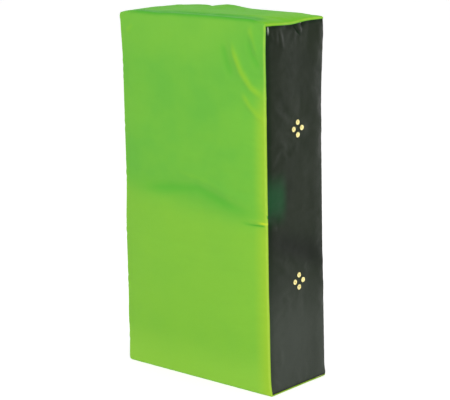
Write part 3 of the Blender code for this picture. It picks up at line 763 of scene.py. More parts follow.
def crest_shade_band(points):
    """1 along the crest where the cloth bends from the front over the top, short of the side seams; painted
    shade goes there.
    """
    x, y, z = points.T
    return ease(x, *CREASE_SHADE_ENDS[0]) * ease(x, *CREASE_SHADE_ENDS[1]) * ease(z, *CREASE_SHADE_UP) * ease(y, *CREASE_SHADE_BACK)


def rows_of_folds(points, folds):
    """Height of listed folds, ridges above 0 and valleys below, each a line that fades at its ends."""
    height = np.zeros(len(points))
    for line, width, rise in folds:
        line = np.array(line)
        nearest = np.full(len(points), 1e9)
        along = np.zeros(len(points))
        run = 0.0
        for start, end in zip(line, line[1:]):
            step = end - start
            length = np.linalg.norm(step)
            share = np.clip((points - start) @ step / length**2, 0.0, 1.0)
            gap = np.linalg.norm(points - start - share[:, None] * step, axis=1)
            closer = gap < nearest
            nearest = np.where(closer, gap, nearest)
            along = np.where(closer, run + share * length, along)
            run += length
        fade = ease(along, 0.0, FOLD_FADE * run) * ease(run - along, 0.0, FOLD_FADE * run)
        height += rise * fade * bell(nearest, width)
    return height


def gathered(points_along, from_seam, pitch, depth, reach, seed):
    """Small puckers square to a seam, which die out with the distance from it."""
    random = np.random.default_rng(seed)
    waves = np.zeros(len(points_along))
    for share in PUCKER_PITCHES:
        waves += np.sin(math.tau * points_along / (pitch * share) + random.uniform(0, math.tau))
    beat = math.tau * points_along / (PUCKER_BEAT * pitch) + random.uniform(0, math.tau)
    strength = 0.5 + 0.5 * np.sin(beat)
    return depth / 3 * waves * strength * np.exp(-np.abs(from_seam) / reach)


def coated_cloth(name, colour, deep, worn_highlight_colour, crest, valley_shade, roughness, shade):
    """Cloth with a supple plastic coat: faint weave and grain, cloudy colour, rubbed edges with a painted
    highlight, painted light on crests and painted shade in valleys.
    """
    finish = Finish(name)
    cloud = finish.noise(7.0, 3.0, 0.55).ramp(0.35, 0.68)
    colour = shade(finish, finish.tint(cloud, colour, deep))
    raised = finish.mark("raised")
    # Painted light on the crests of the folds and painted shade in their valleys
    colour = finish.tint(raised.ramp(*RIDGE_LIGHT_RAMP) * 0.75, colour, crest)
    colour = finish.tint(raised.ramp(*VALLEY_SHADE_RAMP) * 0.80, colour, valley_shade)
    colour = finish.tint(finish.noise(420.0).ramp(0.42, 0.75) * 0.12, colour, deep)
    # Rubbed edges: partly wear and partly a painted highlight
    worn_highlight_breakup = finish.noise(55.0, 4.0, 0.65).ramp(0.25, 0.75)
    colour = finish.tint(finish.mark("worn") * (0.55 + 0.45 * worn_highlight_breakup), colour, worn_highlight_colour)
    across, along, _ = finish.parts(finish.place("UV"))
    weave = across.wave(WEAVE_PITCH) * along.wave(WEAVE_PITCH)
    grain = finish.cells(760.0)
    ripple = finish.noise(26.0, 2.0, 0.4)
    scuff = finish.noise(30.0, 4.0, 0.7, finish.stretched((1.0, 1.0, 3.0))).ramp(0.45, 0.8)
    finish.surface(
        Base_Color=colour,
        Roughness=roughness + 0.10 * scuff + 0.05 * grain,
        Normal=finish.bumps((ripple, 0.0016), (grain, 0.00006), (weave, 0.000025)),
        Specular_IOR_Level=0.12,
    )
    return finish.material


# The green wrap. One sheet of coated cloth runs over the base, front and top in a single piece, so the
# front's long folds are soft. It turns a few millimetres onto the dark panels, where its hem is sewn down.
ACROSS, DEEP, UP = (1, 0, 0), (0, 1, 0), (0, 0, 1)
GREEN = paint(118, 193, 61)
GREEN_DEEP = paint(108, 188, 62)
# Painted light: lit greens below the bend, at the base and at the right edge
GREEN_LIT = paint(143, 201, 58)
GREEN_BASE_LIGHT = paint(157, 214, 71)
GREEN_EDGE_LIGHT = paint(169, 208, 49)
# Partly wear and partly a painted highlight on the rubbed edges
GREEN_WORN_HIGHLIGHT = paint(187, 221, 82)
# Painted light on the crests of folds and painted shade in their valleys
GREEN_CREST_LIGHT = paint(152, 204, 48)
GREEN_VALLEY_SHADE = paint(90, 184, 52)
# Painted shade: the top is deeper green and less blue than the front, lighter to the right
GREEN_TOP_SHADED = paint(98, 190, 8)
GREEN_HIGH = paint(129, 198, 62)
GREEN_TOP_LIT = paint(114, 197, 4)
# Painted shade in the crease behind the front's crest
GREEN_CREASE_SHADE = paint(78, 177, 48)
GREEN_CREASE_SHADE_SHARE = 0.95
# Painted highlight and painted shade of a pinch by the right edge, and painted shade in a nick of its seam
GREEN_PINCH_HIGHLIGHT = paint(204, 226, 44)
GREEN_NICK_SHADE = paint(70, 160, 42)
GREEN_PATCHES = (
    # colour, share and ramps: painted light below the bend, at the base and the right edge, and a painted
    # highlight and painted shade of a pinch there
    (GREEN_LIT, 0.62, ((0.10, 0, 1), 0.52, 0.40)),
    (GREEN_BASE_LIGHT, 0.70, (UP, 0.13, 0.0)),
    (GREEN_EDGE_LIGHT, 0.80, (ACROSS, 0.190, 0.240), (UP, 0.80, 0.68)),
    (GREEN_PINCH_HIGHLIGHT, 1.0, (UP, 0.0040, 0.0012, 0.4378), (ACROSS, 0.205, 0.230)),
    (GREEN_NICK_SHADE, 0.80, (UP, 0.0030, 0.0008, 0.4310), (ACROSS, 0.165, 0.205), (ACROSS, 0.232, 0.218)),
    (GREEN_NICK_SHADE, 1.0, ((2.0, 0, 1), 0.0060, 0.0020, 0.922), (ACROSS, 0.2300, 0.2340)),
)
TOP_SHADE_RAMPS = ((UP, HEIGHT - 0.004, HEIGHT + 0.004), (DEEP, -0.108, -0.100))
HIGH_PATCH = (GREEN_HIGH, 0.50, (UP, 0.78, 0.87), (DEEP, -0.100, -0.106), (ACROSS, 0.20, 0.05))
FRONT_FOLDS = (
    # points (across, up) of the line, half width, rise
    (((0.128, 0.880), (0.146, 0.835), (0.168, 0.795), (0.198, 0.762), (0.262, 0.728)), 0.0105, 0.0036),
    (((0.160, 0.758), (0.196, 0.716), (0.250, 0.676)), 0.0095, 0.0028),
    (((0.100, 0.870), (0.122, 0.810), (0.150, 0.765)), 0.0150, -0.0034),
    (((0.180, 0.880), (0.200, 0.835), (0.232, 0.795)), 0.0130, -0.0034),
    (((0.186, 0.912), (0.204, 0.860), (0.216, 0.825)), 0.0115, 0.0024),
    (((-0.110, 0.545), (0.045, 0.520), (0.150, 0.490), (0.225, 0.468)), 0.0130, 0.0020),
    (((-0.210, 0.470), (0.020, 0.500), (0.120, 0.470), (0.215, 0.445)), 0.0150, -0.0022),
    (((0.150, 0.432), (0.190, 0.430), (0.246, 0.430)), 0.0042, -0.0016),
    (((0.180, 0.438), (0.246, 0.4385)), 0.0046, 0.0022),
    (((-0.222, 0.860), (-0.190, 0.885)), 0.0080, 0.0018),
)
TOP_FOLDS = (
    # points (across, deep) of the line, half width, rise
    (((-0.06, 0.106), (-0.03, 0.03)), 0.010, 0.0016),
    (((-0.12, 0.106), (-0.09, 0.05)), 0.012, -0.0016),
    (((0.235, 0.01), (0.14, -0.06), (0.02, -0.078)), 0.012, 0.0018),
    (((0.236, -0.05), (0.15, -0.02), (0.10, 0.05)), 0.014, -0.0016),
)
KINK_HEIGHT = 0.475
KINK_SLOPE = 0.10
KINK_REACH = 0.05
KINK_DEPTH = 0.0022
KINK_END = 0.012
FRONT_PUCKERS = (0.019, 0.0010, 0.016, 1)  # pitch, depth, reach and seed
TOP_CREASE = TOP_FOLD + 0.013 - HALF_DEPTH
TOP_CREASE_ENDS = ((-0.19, -0.12), (0.232, 0.19))
TOP_CREASE_REACH = 0.011
TOP_CREASE_DEPTH = 0.0018


def wrap_faces(middles):
    """Front, top and base, with the lips on the sides and the back."""
    behind = middles[:, 1] > LIP - HALF_DEPTH
    return ~(behind & (middles[:, 2] > LIP) & (middles[:, 2] < HEIGHT - LIP))


def wrap_shape(points):
    """The front's folds, the kink at its bend, the crease behind the top's crest and puckers at the seams."""
    x, y, z = points.T
    on_front = ease(-y, HALF_DEPTH - TOP_FOLD, HALF_DEPTH - NEAR)
    on_top = ease(z, HEIGHT - TOP_FOLD, HEIGHT - NEAR)
    side_gap = HALF_WIDTH - np.abs(x)
    kink = bell(z - KINK_HEIGHT + KINK_SLOPE * x, KINK_REACH) * ease(side_gap, 0.0, KINK_END)
    crease = ease(x, *TOP_CREASE_ENDS[0]) * ease(x, *TOP_CREASE_ENDS[1])
    crease *= bell(y - TOP_CREASE, TOP_CREASE_REACH)
    height = (rows_of_folds(points[:, [0, 2]], FRONT_FOLDS) - KINK_DEPTH * kink) * on_front
    height += (rows_of_folds(points[:, [0, 1]], TOP_FOLDS) - TOP_CREASE_DEPTH * crease) * on_top
    puckers = gathered(z + 3 * y, side_gap, *FRONT_PUCKERS)
    return height + puckers * on_front * (side_gap > NEAR)


def wrap_place(points):
    """Across the cloth and along it, round the folds."""
    x, y, z = points.T
    front = y + HALF_DEPTH
    along = z + np.sign(z - HEIGHT / 2) * front
    beside = np.abs(x) > HALF_WIDTH - NEAR
    return np.stack([np.where(beside, x + np.sign(x) * front, x), np.where(beside, z, along)], axis=1)


def wrap_shade(finish, colour):
    """Painted light makes the cloth yellower below the pad's bend, at the base and towards the right edge;
    painted shade makes it deeper green on top and darker in the crease behind the front's crest, with a painted
    pinch by the right edge and a lighter patch high on the front's left.
    """
    # Painted light below the bend, at the base and at the right edge, and a painted highlight and painted shade
    # of a pinch
    colour = finish.patched(colour, GREEN_PATCHES)
    # Painted shade on the top, lighter towards the right
    top_shaded_green = finish.tint(finish.mask((ACROSS, 0.10, 0.20)), GREEN_TOP_SHADED, GREEN_TOP_LIT)
    colour = finish.tint(finish.mask(*TOP_SHADE_RAMPS), colour, top_shaded_green)
    colour = finish.patched(colour, [HIGH_PATCH])
    # Painted shade in the crease behind the crest
    return finish.tint(finish.mark("creased") * GREEN_CREASE_SHADE_SHARE, colour, GREEN_CREASE_SHADE)


green_cloth = coated_cloth(
    "green_coated_cloth", GREEN, GREEN_DEEP, GREEN_WORN_HIGHLIGHT, GREEN_CREST_LIGHT, GREEN_VALLEY_SHADE, 0.52, wrap_shade
)
wrap_mesh = cloth_panel(wrap_faces, 0.0, wrap_shape, wrap_place)
green_wrap = new_piece("green_wrap", wrap_mesh, green_cloth, "root", "green_cover", "cover_wrap")

# The dark side panels. Each is one sheet of near-black coated cloth, tucked under the green lips in front,
# above and below, and turned round the back corner to the back panel's seam. Its vents are punched through.
BLACK = paint(33, 41, 28)
BLACK_DEEP = paint(27, 35, 23)
# Partly wear and partly a painted highlight at the back corner
BLACK_WORN_HIGHLIGHT = paint(82, 84, 76)
# Partly dust and partly a painted reflection of the floor, low on the panels
BLACK_DUST_AND_SHEEN = paint(71, 77, 69)
# Painted reflection of the green wrap beside the front seam
BLACK_GREEN_REFLECTION = paint(28, 74, 42)
# Painted shade, in a band across the middle and in the valleys of folds
BLACK_SHADE = paint(18, 23, 16)
# Painted shade along the seams, beside the lips
BLACK_SEAM_SHADE = paint(3, 30, 4)
# Painted light on the crests of folds
BLACK_CREST_LIGHT = paint(64, 68, 61)
BLACK_GLINT = paint(176, 186, 172)
DUST_AND_SHEEN_RAMP = ((0, 0.12, 1), 0.36, 0.12)
BAND_SHADE_PATCH = (BLACK_SHADE, 0.60, ((0, 0.35, 1), 0.055, 0.0, 0.36))
SEAM_SHADE_SHARE = 0.90
SEAM_SHADE_RAMP = (DEEP, -0.084, -0.098)
SEAM_SHADE_FADE = (UP, 0.36, 0.46)
TOP_SEAM_SHADE_RAMP = (UP, 0.902, 0.911)
PINCH_SHADE_RAMPS = (((0, 1.02, 1), 0.0045, 0.0012, 0.9039), (DEEP, -0.009, -0.003), (DEEP, 0.025, 0.018))
SEAM_PATCHES = (
    # colour, share and ramps: a painted green reflection by the front seam and a painted glint in its top
    # corner
    (BLACK_GREEN_REFLECTION, 1.0, (UP, 0.078, 0.006, 0.492), (DEEP, -0.026, -0.060)),
    (BLACK_GLINT, 1.0, (DEEP, 0.0030, 0.0008, -0.0930), (UP, 0.890, 0.909), (UP, 0.9145, 0.9105)),
)
PANEL_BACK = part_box("cover_back_upper")[1].y
EYELET_HOLE = 0.0047
PUNCH_LENGTH = 0.03
PUNCH_STEPS = 28
ALONG_X = Matrix.Rotation(math.radians(90), 4, "Y")
VENT_CALM = (0.020, 0.045)
# Pitch, depth, reach and seed of the puckers along each seam
UNDER_TOP_PUCKERS = (0.017, 0.0016, 0.022, 2)
SIDE_SEAM_PUCKERS = (0.023, 0.0011, 0.014, 3)
OVER_BASE_PUCKERS = (0.021, 0.0010, 0.018, 4)
SEAM_SINK = 0.0019
SEAM_SINK_REACH = 0.010
TOP_SEAM_SLOPE = 0.45
SIDE_FOLDS = (
    # points (deep, up) of the line, half width, rise
    (((-0.084, 0.900), (-0.078, 0.870)), 0.0055, 0.0018),
    (((-0.070, 0.902), (-0.066, 0.862)), 0.0050, 0.0016),
    (((-0.056, 0.902), (-0.044, 0.850)), 0.0055, 0.0018),
    (((-0.038, 0.908), (-0.008, 0.902)), 0.0065, -0.0022),
    (((-0.010, 0.914), (0.006, 0.897), (0.024, 0.878)), 0.0036, -0.0028),
    (((0.003, 0.914), (0.015, 0.899), (0.026, 0.884)), 0.0042, 0.0036),
    (((0.026, 0.914), (0.034, 0.898)), 0.0042, -0.0026),
    (((-0.100, 0.398), (0.000, 0.352), (0.112, 0.305)), 0.026, -0.0030),
    (((-0.100, 0.452), (-0.060, 0.440)), 0.010, -0.0022),
    (((-0.100, 0.425), (-0.070, 0.420)), 0.008, 0.0016),
    (((-0.066, 0.120), (-0.064, 0.060)), 0.008, 0.0012),
    (((0.060, 0.215), (0.104, 0.190)), 0.009, 0.0014),
)


def side_faces(side):
    """Faces of one side of the pad, with the edge that is turned round the back corner."""

    def keep(middles):
        outward = side * middles[:, 0]
        flat = outward > HALF_WIDTH - NEAR
        corner = (outward > BACK_SEAM) & (middles[:, 1] > HALF_DEPTH - SEAM_RADIUS)
        within = (middles[:, 2] > SEAM_RADIUS) & (middles[:, 2] < HEIGHT - SEAM_RADIUS)
        return (flat | corner) & within

    return keep


def side_shape(points):
    """Drawn in beside the lips, gathered along the top seam and dented across the lower middle."""
    _, y, z = points.T
    from_front = np.clip(y + HALF_DEPTH - LIP, 0.0, None)
    from_top = np.clip(HEIGHT - LIP - z, 0.0, None)
    from_base = np.clip(z - LIP, 0.0, None)
    calm = np.ones(len(points))
    for _, depth, rise in vent_middles():
        calm *= ease(np.hypot(y - depth, z - rise), *VENT_CALM)
    folds = rows_of_folds(points[:, [1, 2]], SIDE_FOLDS)
    folds += gathered(y, from_top, *UNDER_TOP_PUCKERS)
    folds += gathered(z, from_front, *SIDE_SEAM_PUCKERS)
    folds += gathered(y, from_base, *OVER_BASE_PUCKERS)
    from_seam = np.minimum(np.minimum(from_front, from_top), from_base)
    height = folds * calm - SEAM_SINK * bell(from_seam, SEAM_SINK_REACH)
    height = np.minimum(height, TOP_SEAM_SLOPE * from_top)
    return height * ease(y, HALF_DEPTH, HALF_DEPTH - SEAM_RADIUS)


def side_place(points):
    return points[:, [1, 2]]


def dark_shade(finish, colour):
    """Dust and a painted floor reflection pale the lower third below a band of painted shade; painted shade
    darkens the seams, with a painted green reflection and a painted glint beside the front seam.
    """
    streak = finish.noise(18.0, 4.0, 0.6, finish.stretched((1.0, 1.0, 0.35)))
    # Dust and a painted reflection of the floor pale the lower third
    colour = finish.tint(finish.mask(DUST_AND_SHEEN_RAMP) * (0.55 + 0.5 * streak), colour, BLACK_DUST_AND_SHEEN)
    # A band of painted shade across the middle
    colour = finish.patched(colour, [BAND_SHADE_PATCH])
    # Painted shade along the seams and in the V pinch under the top seam
    seams = finish.mask(SEAM_SHADE_RAMP) * (0.2 + 0.8 * finish.mask(SEAM_SHADE_FADE)) + finish.mask(TOP_SEAM_SHADE_RAMP)
    seams = (seams + finish.mask(*PINCH_SHADE_RAMPS)).least(1.0)
    colour = finish.tint(seams * SEAM_SHADE_SHARE, colour, BLACK_SEAM_SHADE)
    # A painted green reflection and a painted glint beside the front seam
    return finish.patched(colour, SEAM_PATCHES)


def add_rod(bm, radius, length, segments, place, capped=True):
    """Adds a cylinder, which is upright unless its matrix turns it."""
    bmesh.ops.create_cone(
        bm, cap_ends=capped, segments=segments, radius1=radius, radius2=radius, depth=length, matrix=place
    )


def less(mesh, cutter, name):
    """A new mesh of a shape with a cutter's shape taken away."""
    item, tool = placed(name, mesh), placed("cutter", cutter)
    cut = item.modifiers.new("cut", "BOOLEAN")
    cut.operation = "DIFFERENCE"
    cut.object = tool
    result = shown_mesh(item, name)
    bpy.data.objects.remove(tool)
    return result


def punched(mesh, word):
    """The panel with a round hole for each eyelet."""
    bm = bmesh.new()
    for level, _ in LEVELS:
        for number in range(1, 5):
            low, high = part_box(f"vent_{word}_{level}_{number}")
            spot = Matrix.Translation((low + high) / 2) @ ALONG_X
            add_rod(bm, EYELET_HOLE, PUNCH_LENGTH, PUNCH_STEPS, spot)
    return less(mesh, mesh_of(bm, "punch"), "panel")


dark_cloth = coated_cloth(
    "dark_coated_cloth", BLACK, BLACK_DEEP, BLACK_WORN_HIGHLIGHT, BLACK_CREST_LIGHT, BLACK_SHADE, 0.48, dark_shade
)
for word, side in SIDES:
    side_mesh = punched(cloth_panel(side_faces(side), LAP, side_shape, side_place), word)
    node = f"cover_side_{word}"
    panel = new_piece(f"side_panel_{word}", side_mesh, dark_cloth, "root", "black_cover", node)

# The back. Two dark panels, a shallow one below the zip and a tall one above it, are lapped under the side
# panels' turned edges and the green lips and sewn there. Each turns a narrow hem at the zip.
ZIP_HEM = 0.006
PATCH_BOXES = [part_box(f"strap_right_patch_{level}") for level, _ in LEVELS]
PATCH_CALM = (0.001, 0.020)
BACK_SIDE_PUCKERS = (0.021, 0.0012, 0.020, 5)
BACK_LIP_PUCKERS = (0.019, 0.0012, 0.020, 6)
BACK_SINK = 0.0013
BACK_SINK_SIDE = 0.006
BACK_SINK_LIP = 0.008
PANEL_HEIGHTS = {
    "lower": (SEAM_RADIUS / 5, ZIP_HEIGHT - ZIP_HALF),
    "upper": (ZIP_HEIGHT + ZIP_HALF, HEIGHT - SEAM_RADIUS / 5),
}


def back_faces(low, high):
    """Faces of the back between two heights, with the laps under the lips and the side panels' edges."""

    def keep(middles):
        x, y, z = np.abs(middles[:, 0]), middles[:, 1], middles[:, 2]
        return (y > HALF_DEPTH - SEAM_RADIUS / 2) & (x < HALF_WIDTH - SEAM_RADIUS) & (z > low) & (z < high)

    return keep


def back_shape(points):
    """Drawn in at the corner seams and the lips, calm under the patches and beside the zip."""
    x, _, z = points.T
    from_side = np.clip(BACK_SEAM - np.abs(x), 0.0, None)
    from_lip = np.clip(np.minimum(z, HEIGHT - z) - LIP, 0.0, None)
    calm = ease(np.abs(z - ZIP_HEIGHT), ZIP_HALF + ZIP_HEM, ZIP_HALF + 5 * ZIP_HEM)
    for low, high in PATCH_BOXES:
        beside_x = np.maximum(low.x - np.abs(x), np.abs(x) - high.x)
        beside = np.maximum(beside_x, np.maximum(low.z - z, z - high.z))
        calm *= ease(beside, *PATCH_CALM)
    puckers = gathered(z, from_side, *BACK_SIDE_PUCKERS) + gathered(x, from_lip, *BACK_LIP_PUCKERS)
    sunk = BACK_SINK * bell(np.minimum(from_side / BACK_SINK_SIDE, from_lip / BACK_SINK_LIP), 1)
    return np.where(from_side > 0, puckers * calm - sunk, -BACK_SINK)


def back_place(points):
    return points[:, [0, 2]]


for word, (low, high) in PANEL_HEIGHTS.items():
    back_mesh = cloth_panel(back_faces(low, high), LAP, back_shape, back_place)
    node = f"cover_back_{word}"
    panel = new_piece(f"back_panel_{word}", back_mesh, dark_cloth, "root", "black_cover", node)

# The foam. Three slabs of open-cell foam are stacked from front to back and squeezed into the cover, which
# presses its seams, dents, vents and zip into them. The front slab is cut full, for the swell of the face.
FOAM_NET = 0.010
FOAM_GAP = 0.0005
SLAB_GAP = 0.0003
PRESS_REACH = 0.014
RELIEF_STEP = 0.0015
SLOT_STEP = 0.0006
SOFT_BEND = 50
CORE_LOW, CORE_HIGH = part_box("foam_core")
TAPE_LOW, TAPE_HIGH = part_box("zip_stringer_lower")[0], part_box("zip_stringer_upper")[1]
SLIDER_LOW, SLIDER_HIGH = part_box("zip_slider")
TAPE_SPAN = (TAPE_LOW.z - RELIEF_STEP, TAPE_HIGH.z + RELIEF_STEP)
SLOT_SPAN = (SLIDER_LOW.z - RELIEF_STEP / 2, SLIDER_HIGH.z + RELIEF_STEP / 2)
ZIP_STEPS = (-RELIEF_STEP, RELIEF_STEP, -SLOT_STEP, SLOT_STEP)
PLAIN_TREE = BVHTree.FromPolygons(PLAIN.tolist(), [p.vertices[:] for p in bag.polygons])

foam = Finish("open_cell_foam")
foam_cells = foam.cells(900.0)
foam_tint = foam.tint(foam.noise(14.0, 3.0).ramp(0.3, 0.7), paint(238, 230, 196), paint(226, 214, 172))
foam_material = foam.surface(
    Base_Color=foam.tint(foam_cells.ramp(0.55, 0.1) * 0.35, foam_tint, paint(188, 170, 120)),
    Roughness=0.95,
    Specular_IOR_Level=0.2,
    Normal=foam.bumps((foam.noise(60.0), 0.0006), (foam_cells, 0.0004)),
)


def tree_of(pieces):
    """Search tree over some pieces."""
    bm = bmesh.new()
    for piece in pieces:
        bm.from_mesh(piece.data)
    tree = BVHTree.FromBMesh(bm)
    bm.free()
    return tree


shell_tree = tree_of(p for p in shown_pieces() if p.get("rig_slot") in ("green_cover", "black_cover"))


def pressed(mesh, points, outward, skin):
    """Points of the foam, its skin pressed in by the nearest and deepest dents of the cover."""
    rooms = np.zeros(len(points))
    for index in np.flatnonzero(skin):
        normal = Vector(outward[index])
        start = Vector(points[index]) - PRESS_REACH * normal
        hit = shell_tree.ray_cast(start, normal, 2 * PRESS_REACH)[0]
        if hit is not None:
            rooms[index] = min(0.0, (hit - start).length - FOAM_GAP - PRESS_REACH)
    deepest = rooms.copy()
    for edge in mesh.edges:
        first, second = edge.vertices
        deepest[first] = min(deepest[first], rooms[second])
        deepest[second] = min(deepest[second], rooms[first])
    deepest[~skin] = 0
    return points + deepest[:, None] * outward


def between(values, low, high, margin=0.0):
    """True where values lie between two limits, or no further than a margin beside them."""
    return (values > low - margin - NEAR) & (values < high + margin + NEAR)


def smoothed(mesh, bend):
    """The mesh, smooth apart from its edges that bend by more degrees."""
    mesh.shade_smooth()
    mesh.set_sharp_from_angle(angle=math.radians(bend))
    return mesh


def foam_block(inset, front, back):
    """A length of the plain block, cut finer where the zip and the vent backings press in."""
    rises = [z + step for z, step in zip((*TAPE_SPAN, *SLOT_SPAN), ZIP_STEPS)]
    depths = []
    for level, _ in LEVELS:
        low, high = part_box(f"vent_backing_right_{level}")
        for margin in (RELIEF_STEP / 2, 1.5 * RELIEF_STEP):
            rises += [low.z - margin, high.z + margin]
            if level == "upper":
                depths += [low.y - margin, high.y + margin]
    bm = block(inset, FOAM_NET, y_cuts=depths, z_cuts=(*TAPE_SPAN, *SLOT_SPAN, *rises))
    for value, outward in ((front, -1), (back, 1)):
        if value is not None:
            normal = Vector((0, outward, 0))
            geom = bm.verts[:] + bm.edges[:] + bm.faces[:]
            bmesh.ops.bisect_plane(
                bm, geom=geom, dist=NEAR, plane_co=normal * value * outward, plane_no=normal, clear_outer=True
            )
            bmesh.ops.holes_fill(bm, edges=[e for e in bm.edges if e.is_boundary], sides=0)
    bmesh.ops.triangulate(bm, faces=[f for f in bm.faces if len(f.verts) > 4])
    bmesh.ops.recalc_face_normals(bm, faces=bm.faces)
    return bm


def foam_slab(name, front, back, node):
    """One slab: a length cut out of the stuffed block, with the zip and the vent backings pressed in."""
    inset = LAP + CLOTH + FOAM_GAP
    mesh = mesh_of(foam_block(inset, front, back), name)
    plain = coordinates(mesh)
    lie = [PLAIN_TREE.find_nearest(Vector(p)) for p in plain]
    outward = np.array([hit[1] for hit in lie])
    skin = np.array([hit[3] for hit in lie]) < inset + NEAR
    points = pressed(mesh, stuffed(plain), outward, skin)
    x, y, z = plain.T
    behind = y > HALF_DEPTH - 2 * SEAM_RADIUS
    for limits, wall in ((TAPE_SPAN, TAPE_LOW.y), (SLOT_SPAN, SLIDER_LOW.y)):
        inside = behind & between(z, *limits)
        points[inside, 1] = np.minimum(points[inside, 1], wall - FOAM_GAP)
    for level, _ in LEVELS:
        low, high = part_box(f"vent_backing_right_{level}")
        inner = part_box(f"vent_right_{level}_1")[0].x - FOAM_GAP
        inside = between(y, low.y, high.y, RELIEF_STEP / 2) & between(z, low.z, high.z, RELIEF_STEP / 2)
        inside &= np.abs(x) > inner
        points[inside, 0] = np.clip(points[inside, 0], -inner, inner)
    mesh.vertices.foreach_set("co", points.ravel())
    mesh.update()
    new_piece(name, smoothed(mesh, SOFT_BEND), foam_material, "root", "foam", node)


foam_slab("front_slab", None, CORE_LOW.y - SLAB_GAP, "foam_front")
foam_slab("middle_slab", CORE_LOW.y, CORE_HIGH.y, "foam_core")
foam_slab("back_slab", CORE_HIGH.y + SLAB_GAP, None, "foam_back")

# The vents. Each of the sixteen is a turned brass eyelet, clenched through the side panel and a square of
# cloth behind it, with a rolled outer rim. Air squeezed out of the foam leaves through its narrow bore.
EYELET_STEPS = 40
EYELET_FIT = 0.0002
BARREL_FIT = 0.0003
BORE_SHARE = 0.26
RIM_STEPS = 7
RIM_TRIM = 0.0005
RIM_SHARE = 0.125
RIM_POWER = 0.8
DISH_SHARE = 0.66
DISH_LIFT = 0.42
BORE_LIP = ((0.0010, 0.0001), (0.0003, -0.0003), (0.0, -0.0010))
VENT_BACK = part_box("vent_backing_right_upper")[0].x - EYELET_FIT
VENT_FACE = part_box("vent_backing_right_upper")[1].x + LAP + EYELET_FIT

brass = Finish("lacquered_brass")
brass_cloud = brass.noise(260.0, 3.0).ramp(0.35, 0.7)
brass_scratch = brass.noise(2400.0, vector=brass.stretched((1.0, 0.15, 1.0)))
brass_material = brass.surface(
    Base_Color=brass.tint(brass_cloud, paint(250, 240, 176), paint(236, 220, 146)),
    Metallic=1.0,
    Roughness=0.26 + 0.16 * brass_scratch,
    Normal=brass.bumps((brass_scratch, 0.00001)),
)


def finished(bm, name, bend):
    """A mesh of a bmesh, smooth apart from its edges that bend by more degrees."""
    bmesh.ops.recalc_face_normals(bm, faces=bm.faces)
    return smoothed(mesh_of(bm, name), bend)


def turned_eyelet(low, high, side):
    """The eyelet's section spun round its bore: flat inner flange, barrel and rolled outer rim."""
    radius = (high.z - low.z) / 2 - RIM_TRIM
    inner, outer = sorted((low.x * side, high.x * side))
    rim = radius * RIM_SHARE
    bore = radius * BORE_SHARE
    barrel = EYELET_HOLE - BARREL_FIT
    lift = outer - VENT_FACE
    section = [(bore, inner), (radius - rim / 2, inner), (radius, inner + rim / 3)]
    section += [(radius, VENT_BACK), (barrel, VENT_BACK), (barrel, VENT_FACE)]
    for step in range(RIM_STEPS + 1):
        turn = math.pi * step / RIM_STEPS
        section.append((radius - rim * (1 - math.cos(turn)), VENT_FACE + lift * math.sin(turn) ** RIM_POWER))
    dish = VENT_FACE + lift * DISH_LIFT
    section += [(radius * DISH_SHARE, dish), *((bore + reach, dish + rise) for reach, rise in BORE_LIP)]
    bm = bmesh.new()
    verts = [bm.verts.new((along, reach, 0)) for reach, along in section]
    edges = [bm.edges.new((verts[i - 1], verts[i])) for i in range(len(verts))]
    bmesh.ops.spin(
        bm,
        geom=verts + edges,
        cent=(0, 0, 0),
        axis=(1, 0, 0),
        angle=math.tau,
        steps=EYELET_STEPS,
        use_merge=True,
    )
    if side < 0:
        bmesh.ops.rotate(bm, verts=bm.verts, cent=(0, 0, 0), matrix=Matrix.Rotation(math.pi, 3, "Z"))
    bmesh.ops.translate(bm, verts=bm.verts, vec=(0, (low.y + high.y) / 2, (low.z + high.z) / 2))
    return finished(bm, "eyelet", SOFT_BEND)


for word, side in SIDES:
    for level, _ in LEVELS:
        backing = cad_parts[f"vent_backing_{word}_{level}"]
        backing.data.materials.clear()
        backing.data.materials.append(dark_cloth)
        for number in range(1, 5):
            node = f"vent_{word}_{level}_{number}"
            eyelet = turned_eyelet(*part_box(node), side)
            new_piece(f"eyelet_{word}_{level}_{number}", eyelet, brass_material, "root", "brass", node)

# The zip. A chunky moulded zip closes the slot across the lower back: two woven tapes, each with a corded
# edge that carries its teeth, metal stops crimped on both ends, and a slider whose pull hangs from a bridge.
FIRM_BEND = 35
TOOTH_PITCH = 0.005
TOOTH_NECK = 0.0017
TOOTH_ROOT = 0.0003
TOOTH_REACH = 0.0012
TOOTH_GAP = 0.0003
TOOTH_HEAD = TOOTH_PITCH - TOOTH_NECK - 2 * TOOTH_GAP
TOOTH_ROUND = 0.00028
TOOTH_CLASP = 0.9
CHAIN_START, CHAIN_END = -0.190, 0.190
CORD_EDGE = 0.0015
CORD_WIDTH = 0.0022
CORD_RADIUS = CORD_WIDTH * 0.47
CORD_STEPS = 12
CORD_LINE = CORD_EDGE + CORD_WIDTH / 2
TAPE_PLANE = (TAPE_LOW.y + TAPE_HIGH.y) / 2
TOOTH_DEPTH = TAPE_HIGH.y - TAPE_LOW.y
TAPE_WALL = 0.0006
TAPE_RIB = 0.0012
TAPE_NET = ((0, 0.006), (2, 0.004))
STOP_ROUND = 0.0009
STOP_CREASE = 0.0004
STOP_WAIST = (1, 0.86, 0.94)

zip_tape = Finish("woven_zip_tape")
tape_along, tape_across, _ = zip_tape.parts(zip_tape.place("UV"))
tape_weave = tape_along.wave(TAPE_RIB) * tape_across.wave(TAPE_RIB / 1.6)
tape_material = zip_tape.surface(
    Base_Color=zip_tape.tint(tape_weave.ramp(-0.2, 0.9), paint(24, 25, 24), paint(46, 47, 45)),
    Roughness=0.85,
    Normal=zip_tape.bumps((tape_weave, 0.00012)),
)

